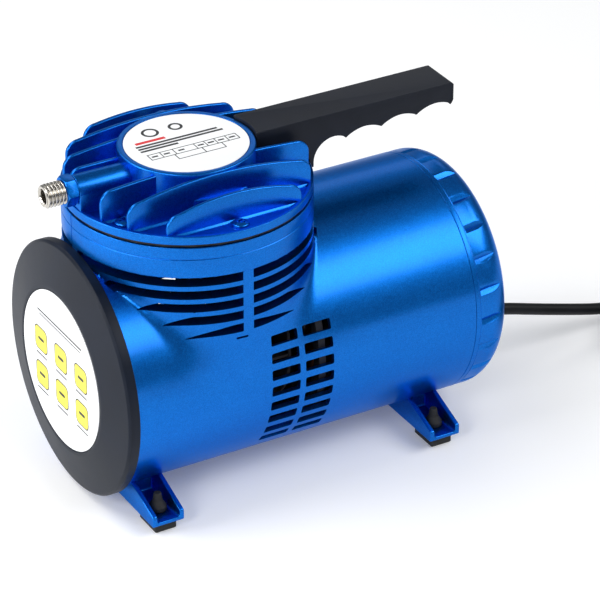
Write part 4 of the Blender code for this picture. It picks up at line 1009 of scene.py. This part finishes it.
def add_rear_cap():
    """The cast end cap with grip notches, air slots and holes for the lead and the switch."""
    inner = BORE_R - 0.3 * MM
    inside = [(BODY_R, CAP_JOIN_Y + 0.3 * MM, 0.5 * MM), (inner, CAP_JOIN_Y + 0.3 * MM),
              (inner, CAP_JOIN_Y - 6 * MM), (inner - 2.5 * MM, CAP_JOIN_Y - 6 * MM),
              (inner - 2.5 * MM, CAP_JOIN_Y + 2 * MM), (BODY_R - 2.6 * MM, CAP_JOIN_Y + 4 * MM),
              (BODY_R - 2.6 * MM, CAP_END_Y - 2.6 * MM, 13 * MM), (0, CAP_END_Y - 2.6 * MM)]
    corner_r = 14 * MM
    corner = (BODY_R - corner_r, CAP_END_Y - corner_r)
    ring = [(BODY_R, CAP_JOIN_Y + 3.5 * MM, 0.1 * MM), (BODY_R - 0.3 * MM, CAP_JOIN_Y + 3.2 * MM, 0.1 * MM),
            (BODY_R, CAP_JOIN_Y + 2.9 * MM, 0.1 * MM)]
    outline = [(0, CAP_END_Y)] + arc(corner, corner_r, 90, 0, 20) + rounded(ring + inside, 8)
    cap = lathe("end_cap", outline, about_motor(), 192)
    pivot = Matrix.Translation((BODY_R, CAP_JOIN_Y + 3.5 * MM, 0))
    tilt = pivot @ spin(6, "X") @ pivot.inverted()
    lift = Matrix.Translation((0, 0, AXIS_Z))
    tools = []
    for k in range(24):
        tool = notch_tool()
        tool.data.transform(lift @ spin(15 * k, "Y") @ tilt)
        tools.append(tool)
    slots = [(10, 27, 30 * k) for k in range(12)]
    slots += [(33, 48, base + offset) for base in (0, 180) for offset in (-24, -12, 0, 12, 24)]
    for start, end, angle in slots:
        outline = rounded_rectangle(start * MM, -1.6 * MM, end * MM, 1.6 * MM, 1.5 * MM, 4)
        tool = slab("slot", outline, 12 * MM, facing_y(0, CAP_END_Y - 3 * MM))
        tool.data.transform(lift @ spin(angle, "Y"))
        tools.append(tool)
    holes = [bar("lead_hole", 6 * MM, CAP_END_Y - 8 * MM, CAP_END_Y + 3 * MM, about_motor(0, 0, CORD_Z), 48),
             box("switch_hole", (-7.4 * MM, CAP_END_Y - 8 * MM, SWITCH_Z - 10.2 * MM),
                 (7.4 * MM, CAP_END_Y + 3 * MM, SWITCH_Z + 10.2 * MM))]
    boolean(cap, [joined("notches", tools), joined("holes", holes)])
    soften(cap, 0.3 * MM, 2, 38)
    piece(shade(cap, 35), blue_paint("blue_paint_cap"), "blue_paint", "rear_cap")


def notch_tool():
    """A long V-shaped cutter with a square front end."""
    depth, wide, above = 1.8 * MM, 5.3 * MM, 2.0 * MM
    outline = [(-depth, 0), (above, -wide), (above, wide)]
    length = 21 * MM
    middle = CAP_JOIN_Y + 3.7 * MM + length / 2
    place = Matrix(((1, 0, 0, BODY_R), (0, 0, -1, middle), (0, 1, 0, 0), (0, 0, 0, 1)))
    return slab("notch", outline, length, place)


# ---------------------------------------------------------------- pump head

def fin(x, top, fall, stop):
    """A cooling fin along Y: upright ends, rounded shoulders and a gently domed crest."""
    half = math.sqrt((HEAD_R - 1.8 * MM) ** 2 - x ** 2)
    shoulder = 7.5 * MM
    reach = half - shoulder
    edge = top - fall * reach ** 2 - shoulder
    foot = PLATE_TOP - 1.5 * MM
    outline = [(-half, foot)] + arc((-reach, edge), shoulder, 180, 90, 10)
    if stop is None:
        outline += [(reach * k / 12, top - fall * (reach * k / 12) ** 2) for k in range(-11, 12)]
        outline += arc((reach, edge), shoulder, 90, 0, 10) + [(half, foot)]
    else:
        outline += [(stop, top - fall * stop ** 2), (stop, foot)]
    return slab("fin", outline, 2.4 * MM, facing_x(x, HEAD_Y), 0.75 * MM, 3, 60)


def add_head():
    """The finned cover over the diaphragm."""
    outline = [(0, BOSS_TOP - 0.7 * MM), (LABEL_R + 0.4 * MM, BOSS_TOP - 0.7 * MM, 0.15 * MM),
               (LABEL_R + 0.5 * MM, BOSS_TOP, 0.35 * MM), (BOSS_R, BOSS_TOP, 0.9 * MM),
               (BOSS_R, PLATEAU_TOP, 0.8 * MM), (PLATEAU_R, PLATEAU_TOP, 0.8 * MM),
               (PLATEAU_R, PLATE_TOP, 1.0 * MM), (HEAD_R - 2.7 * MM, PLATE_TOP, 0.8 * MM),
               (HEAD_R - 2.5 * MM, RIM_TOP, 0.5 * MM), (HEAD_R, RIM_TOP, 0.6 * MM),
               (HEAD_R, FLANGE_BOTTOM, 0.4 * MM), (50 * MM, FLANGE_BOTTOM), (50 * MM, FLANGE_BOTTOM + 1 * MM),
               (38 * MM, FLANGE_BOTTOM + 1 * MM), (38 * MM, PORT_STEP_Z), (32.5 * MM, PORT_STEP_Z),
               (32.5 * MM, BOSS_TOP - 3.7 * MM), (0, BOSS_TOP - 3.7 * MM)]
    parts = [lathe("cover", rounded(outline, 5), about_head(), 200)]
    parts += [fin(*values) for values in FINS]
    boss_end, boss_r = OUTLET_TIP_Y + 17.7 * MM, 7.4 * MM
    boss_root = HEAD_Y - 33 * MM
    parts.append(bar("outlet_boss", boss_r, boss_end, boss_root, about_motor(0, 0, OUTLET_Z), 72, 0.6 * MM))
    parts.append(box("outlet_web", (-boss_r + 0.05 * MM, boss_end + 0.1 * MM, PLATE_TOP - 1 * MM),
                     (boss_r - 0.05 * MM, boss_root, OUTLET_Z), None, 0.5 * MM))
    along_x = Matrix.Translation((0, HEAD_Y + 8 * MM, AXIS_Z + 106.7 * MM)) @ spin(-90, "Y")
    port = [(4.3 * MM, 34 * MM), (4.3 * MM, 45 * MM, 0.5 * MM), (6.6 * MM, 45 * MM, 0.6 * MM),
            (6.6 * MM, 34 * MM)]
    parts.append(lathe("intake_port", rounded(port), along_x, 48, ring=True))
    parts += base_pads()
    head = shade(joined("head_casting", parts), 35)
    piece(head, blue_paint("blue_paint_head"), "blue_paint", "head_cover")
    film = [(0, 0.3 * MM), (LABEL_R, 0.3 * MM, 0.08 * MM), (LABEL_R, 0), (0, 0)]
    film = lathe("top_film", rounded(film), label_frame(), 140)
    piece(shade(film), paper("top_film_print"), "label_film", "top_label")
    print_top(0.32 * MM)


def base_pads():
    """Low casting fillets on the base plate along the fins and the raised screw seats."""
    parts = []
    for angle in HEAD_SCREW_ANGLES:
        x, y = polar(HEAD_SCREW_R, angle)
        pad = [(0, PLATE_TOP + 0.15 * MM), (5.3 * MM, PLATE_TOP + 0.15 * MM, 0.3 * MM),
               (5.9 * MM, PLATE_TOP - 0.6 * MM), (0, PLATE_TOP - 0.6 * MM)]
        parts.append(lathe("seat", rounded(pad), about_head(x, HEAD_Y + y), 40))
    wedge = [(-2.4 * MM, -0.3 * MM), (2.4 * MM, -0.3 * MM), (1.15 * MM, 1.2 * MM), (-1.15 * MM, 1.2 * MM)]
    for x, _, _, stop in FINS:
        half = math.sqrt((HEAD_R - 3.2 * MM) ** 2 - x ** 2)
        end = half if stop is None else stop
        base = Matrix.Translation((x, HEAD_Y + (end - half) / 2, PLATE_TOP)) @ spin(90, "X")
        parts.append(slab("fillet", wedge, half + end, base, 0.3 * MM, 2))
    return parts


def label_frame():
    """A frame on the label boss: Z up, turned so that lines of print run along the machine."""
    return Matrix.Translation((0, HEAD_Y, BOSS_TOP - 0.4 * MM)) @ spin(90, "Z")


def print_top(height):
    """Plain printed marks on the round label: two round spots, bars and an empty grid."""
    place = label_frame()
    dark, red = [], []

    def strip(store, x0, y0, x1, y1):
        corners = ((x0, y0), (x1, y0), (x1, y1), (x0, y1))
        store.append(thin("strip", [(x * MM, y * MM) for x, y in corners], height, place))

    for cx, radius in ((-11.5, 4.8), (3.5, 4.0)):
        inner, outer, thick = (radius - 1.5) * MM, radius * MM, 0.03 * MM
        outline = [(inner, thick), (outer, thick), (outer, 0), (inner, 0)]
        centre = place @ Matrix.Translation((cx * MM, 19.0 * MM, height))
        dark.append(lathe("spot", outline, centre, 40, ring=True))
    strip(red, -24.5, 9.4, -7.0, 11.8)
    for y, x0, x1 in ((6.2, -26.0, 22.0), (3.4, -26.0, 24.0), (0.6, -26.0, -4.0)):
        strip(dark, x0, y, x1, y + 1.7)
    for x0, y0, x1, y1 in ((-25, -3.6, 27, -3.0), (-25, -9.5, 27, -8.9), (-12, -15.0, 16, -14.4)):
        strip(dark, x0, y0, x1, y1)
    for x in (-25, -18, -10.5, 2, 8, 14, 20.5, 26.7):
        strip(dark, x, -9.2, x + 0.55, -3.2)
    for x in (-12, 4, 15.7):
        strip(dark, x, -14.6, x + 0.55, -9.2)
    for x in (-23.5, -16.5, -8, 3.5, 9.5, 15.5, 22):
        strip(dark, x, -6.9, x + 3.6, -5.5)
    piece(joined("top_marks", dark), ink("ink_black", (0.008, 0.008, 0.01)), "label_film")
    piece(joined("top_marks_red", red), ink("ink_red", (0.65, 0.015, 0.02)), "label_film")


def add_outlet():
    """The nipple with its helical pipe thread, and the painted hexagon."""
    tip, root = OUTLET_TIP_Y, OUTLET_TIP_Y + 11.3 * MM
    pitch, major, minor = 2.0 * MM, 6.5 * MM, 5.35 * MM
    count, steps = 160, 72
    verts, faces = [], []
    for i in range(count + 1):
        y = tip + (root - tip) * i / count
        for k in range(steps):
            a = 2 * math.pi * k / steps
            wave = abs(((y / pitch - k / steps) % 1.0) * 2 - 1)
            r = minor + (major - minor) * min(1.0, max(0.0, (wave - 0.12) / 0.7))
            r = min(r, minor + (y - tip) * 1.1 + 0.15 * MM)
            verts.append((r * math.cos(a), r * math.sin(a), y))
    for i in range(count):
        for k in range(steps):
            n = (k + 1) % steps
            faces.append((i * steps + k, i * steps + n, (i + 1) * steps + n, (i + 1) * steps + k))
    place = about_motor(0, 0, OUTLET_Z)
    thread = mesh_object("thread", verts, faces, place)
    bore = [(5.6 * MM, tip + 0.02 * MM), (4.4 * MM, tip + 0.02 * MM, 0.3 * MM),
            (3.9 * MM, tip + 0.9 * MM, 0.2 * MM), (3.9 * MM, tip + 24 * MM), (4.9 * MM, tip + 24 * MM),
            (4.9 * MM, root)]
    lining = lathe("lining", rounded(bore), place, 72)
    nipple = outward(joined("outlet_nipple", [thread, lining]))
    piece(shade(nipple, 50), metal("nickel_thread", (0.62, 0.59, 0.54), 0.2, (1, 0.3, 1), 1400), "nickel",
          "outlet_fitting")
    front, back = tip + 11.2 * MM, tip + 17.4 * MM
    prism = lathe("hexagon", [(0, back), (8.55 * MM, back), (8.55 * MM, front), (0, front)], place, 6)
    crown = [(0, back), (7.6 * MM, back), (8.6 * MM, back - 0.9 * MM), (8.6 * MM, front + 0.9 * MM),
             (7.6 * MM, front), (0, front)]
    boolean(prism, [lathe("crown", crown, place, 96)], "INTERSECT")
    boolean(prism, [bar("through", 5.2 * MM, front - 2 * MM, back + 2 * MM, place, 48)])
    soften(prism, 0.22 * MM, 2, 25)
    piece(shade(prism), blue_paint("blue_paint_hexagon"), "blue_paint")


# ---------------------------------------------------------------- screws and feet

def pan_head(head_r, head_h, shank_r, length):
    """A pan-head screw with a cross recess, seat at the origin and head up."""
    outline = [(0, head_h), (head_r * 0.45, head_h * 0.97, 1 * MM), (head_r * 0.97, head_h * 0.62, 1.1 * MM),
               (head_r, 0.02 * MM, 0.25 * MM), (shank_r, 0.02 * MM), (shank_r, -length, 0.4 * MM),
               (0, -length)]
    screw = lathe("screw", rounded(outline, 6), None, 56)
    arm, half = head_r * 0.56, head_r * 0.115
    depth = head_h * 0.45
    cross = []
    for turn in (0, 90):
        tool = box("cross", (-arm, -half, head_h - depth), (arm, half, head_h + 1 * MM), None, 0.12 * MM, 1)
        tool.data.transform(spin(turn, "Z"))
        cross.append(tool)
    boolean(screw, cross)
    return soften(screw, 0.1 * MM, 1, 50)


def add_screws():
    """The screws that show: five on the head and four on the rear cap."""
    pattern = pan_head(4.7 * MM, 2.95 * MM, 1.9 * MM, 14 * MM)
    for number, angle in enumerate(HEAD_SCREW_ANGLES, 1):
        x, y = polar(HEAD_SCREW_R, angle)
        turn = spin(37 * number, "Z")
        screw = copy_of(pattern, f"head_screw_{number}_turned", about_head(x, HEAD_Y + y, PLATE_TOP) @ turn)
        paint = blue_paint(f"blue_paint_screw_{number}")
        piece(shade(screw), paint, "blue_paint", f"head_screw_{number}")
    bpy.data.objects.remove(pattern)
    pattern = pan_head(3.6 * MM, 1.65 * MM, 1.8 * MM, 40 * MM)
    steel = metal("zinc_screw", (0.62, 0.62, 0.64), 0.3)
    for number, angle in enumerate((45, 135, 225, 315), 1):
        x, z = polar(CAP_SCREW_R, angle)
        turn = spin(23 + 51 * number, "Z")
        screw = copy_of(pattern, f"cap_screw_{number}_turned", about_motor(CAP_END_Y, x, AXIS_Z + z) @ turn)
        piece(shade(screw), steel, "zinc_steel", f"cap_screw_{number}")
    bpy.data.objects.remove(pattern)


def add_feet():
    """Four rubber feet with pull-through stems."""
    for end, y in zip(("front", "rear"), LEG_CENTRES):
        for side, x in (("left", -FOOT_X), ("right", FOOT_X)):
            half_x, half_y = 9.2 * MM, 6.4 * MM
            pad = box("pad", (x - half_x, y - half_y, 0), (x + half_x, y + half_y, FLOOR_GAP - 0.3 * MM),
                      None, 0.9 * MM, 4)
            floor_top = FLOOR_GAP + 2.8 * MM
            stem = [(0, 19 * MM), (2.0 * MM, 19 * MM, 0.7 * MM), (2.7 * MM, floor_top + 5.6 * MM, 1.2 * MM),
                    (4.9 * MM, floor_top + 2.2 * MM, 0.8 * MM), (4.9 * MM, floor_top, 0.4 * MM),
                    (3.9 * MM, floor_top, 0.2 * MM), (3.9 * MM, 2 * MM), (0, 2 * MM)]
            stem = lathe("stem", rounded(stem), about_head(x, y), 40)
            foot = shade(joined(f"rubber_foot_{end}_{side}", [pad, stem]))
            piece(foot, rubber(f"foot_rubber_{end}_{side}"), "rubber", f"foot_{end}_{side}")


# ---------------------------------------------------------------- handle and switch

def handle_outline():
    """The side view of the handle: straight top, finger scallops below and a foot on the head."""
    first, pitch, count, depth, slope = 48.6 * MM, 22.0 * MM, 3, 3.4 * MM, 0.06
    crest = AXIS_Z + 101.3 * MM
    grip = []
    for step in range(count * 14 + 1):
        y = first + pitch * step / 14
        wave = abs(math.sin(math.pi * step / 14)) ** 0.8
        grip.append((y, crest + slope * (y - first) + depth * wave))
    tip, heel = 115.9 * MM, 28.8 * MM
    throat = arc((heel + 12.5 * MM, AXIS_Z + 91.6 * MM), 12.5 * MM, 178, 62, 14)
    foot = [(HEAD_Y + 30 * MM, HANDLE_TOP), (HEAD_Y + 30 * MM, PLATE_TOP + 0.3 * MM),
            (heel - 2.7 * MM, PLATE_TOP + 0.3 * MM), (heel - 2.7 * MM, AXIS_Z + 89 * MM),
            (heel, AXIS_Z + 89 * MM)]
    end = [(tip - 2.2 * MM, crest + 3.6 * MM), (tip - 0.9 * MM, crest + 4.6 * MM), (tip, crest + 6.4 * MM),
           (tip, HANDLE_TOP - 1.2 * MM), (tip - 1.2 * MM, HANDLE_TOP)]
    return foot + throat + grip + end


def add_handle():
    """The moulded handle with softened edges."""
    grip = slab("handle", handle_outline(), 25 * MM, facing_x())
    clearance = [(0, HANDLE_TOP + 9 * MM), (BOSS_R + 0.5 * MM, HANDLE_TOP + 9 * MM),
                 (BOSS_R + 0.5 * MM, PLATEAU_TOP + 0.5 * MM), (PLATEAU_R + 0.5 * MM, PLATEAU_TOP + 0.5 * MM),
                 (PLATEAU_R + 0.5 * MM, BAND_BOTTOM), (0, BAND_BOTTOM)]
    rim = [(HEAD_R - 3.4 * MM, RIM_TOP + 0.4 * MM), (HEAD_R + 0.4 * MM, RIM_TOP + 0.4 * MM),
           (HEAD_R + 0.4 * MM, BAND_BOTTOM), (HEAD_R - 3.4 * MM, BAND_BOTTOM)]
    boolean(grip, [lathe("clearance", clearance, about_head(), 150),
                   lathe("rim_room", rim, about_head(), 150, ring=True)])
    soften(grip, 1.1 * MM, 4, 38)
    plastic = black_moulding("handle_plastic", (0.005, 0.007, 0.013), 0.42)
    piece(shade(grip, 40), plastic, "black_plastic", "handle")


def add_switch():
    """The rocker switch with rounded edges."""
    seat = CAP_END_Y + 0.3 * MM
    surround = box("switch_frame_moulded", (-8.6 * MM, seat, SWITCH_Z - 11.6 * MM),
                   (8.6 * MM, seat + 1.5 * MM, SWITCH_Z + 11.6 * MM), None, 0.6 * MM)
    pocket = box("pocket", (-5.5 * MM, SWITCH_PIVOT_Y - 6.5 * MM, SWITCH_Z - 8.2 * MM),
                 (5.5 * MM, CAP_END_Y + 5 * MM, SWITCH_Z + 8.2 * MM))
    rear = box("switch_rear", (-7.1 * MM, CAP_END_Y - 13 * MM, SWITCH_Z - 9.9 * MM),
               (7.1 * MM, seat + 0.5 * MM, SWITCH_Z + 9.9 * MM))
    boolean(surround, [rear], "UNION")
    boolean(surround, [pocket])
    plastic = black_moulding("switch_plastic", (0.02, 0.02, 0.023), 0.36)
    piece(shade(surround), plastic, "black_plastic", "switch_frame")
    rocker_r = 7.6 * MM
    outline = arc((0, 0), rocker_r, 122, 58, 10)
    outline += [(2.3 * MM, 3.4 * MM), (1.7 * MM, 0), (2.3 * MM, -3.4 * MM)]
    outline += arc((0, 0), rocker_r, -58, -122, 10)
    rocker = slab("rocker_moulded", outline, 10 * MM, None, 0.45 * MM, 3)
    turn = spin(-OFF_TILT, "X")
    rocker.data.transform(Matrix.Translation((0, SWITCH_PIVOT_Y, SWITCH_Z)) @ turn @ facing_x())
    piece(shade(rocker), gloss_plastic("rocker_red", (0.55, 0.015, 0.015)), "red_plastic", "switch_rocker",
          body="rocker")


# ---------------------------------------------------------------- pieces kept from the CAD

def finish_cad_nodes():
    """Materials for the CAD pieces that stay as they are."""
    # Painted shade: the steel, zinc and castings inside the housing get far darker colours than these metals
    # have, standing in for the shade in there.
    steel = metal("ground_steel_painted_shade", (0.2, 0.2, 0.21), 0.3, (1, 0.05, 1))
    zinc = metal("zinc_plate_painted_shade", (0.22, 0.22, 0.23), 0.36)
    spring = metal("spring_steel_strip", (0.5, 0.52, 0.56), 0.25, (0.1, 1, 1))
    casting = cast_metal("aluminium_casting_painted_shade", (0.06, 0.063, 0.07), 0.65)
    iron = cast_metal("iron_casting_painted_shade", (0.06, 0.062, 0.066), 0.6)
    stack = laminations("sheet_stack_painted_shade")
    copper = winding_wire("copper_winding_painted_shade")
    fan = black_moulding("fan_nylon", (0.03, 0.03, 0.034), 0.5)
    membrane = rubber("membrane_rubber")
    looks = {
        "diaphragm": membrane, "valve_gasket": rubber("gasket_rubber"), "intake_filter": felt("intake_felt"),
        "valve_plate": casting, "connecting_rod": casting, "clamp_plate": casting, "front_bracket": casting,
        "rear_bracket": casting, "eccentric": iron, "stator_core": stack, "rotor_core": stack,
        "winding_front": copper, "winding_rear": copper, "cooling_fan": fan, "intake_reed": spring,
        "outlet_reed": spring, "rod_bearing": steel, "front_bearing": steel, "rear_bearing": steel,
        "motor_shaft": steel, "shaft_nut": zinc, "clamp_screw": zinc, "stator_bolt_1": zinc,
        "stator_bolt_2": zinc, "handle_screw_1": zinc, "handle_screw_2": zinc,
        "terminal_block": gloss_plastic("terminal_nylon", (0.3, 0.29, 0.27)),
    }
    for name, material in looks.items():
        give(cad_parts[name], material)


# ---------------------------------------------------------------- scene

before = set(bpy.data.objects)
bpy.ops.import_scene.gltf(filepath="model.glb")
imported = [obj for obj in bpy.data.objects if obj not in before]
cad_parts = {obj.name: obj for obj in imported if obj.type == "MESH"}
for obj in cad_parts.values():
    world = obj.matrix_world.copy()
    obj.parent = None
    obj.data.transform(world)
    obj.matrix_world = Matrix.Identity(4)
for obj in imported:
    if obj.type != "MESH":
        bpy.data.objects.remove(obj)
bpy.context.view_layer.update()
add_camera()
add_lead()
add_studio()
add_housing()
add_front_cover()
add_rear_cap()
add_head()
add_outlet()
add_screws()
add_feet()
add_handle()
add_switch()
finish_cad_nodes()

bpy.context.view_layer.update()
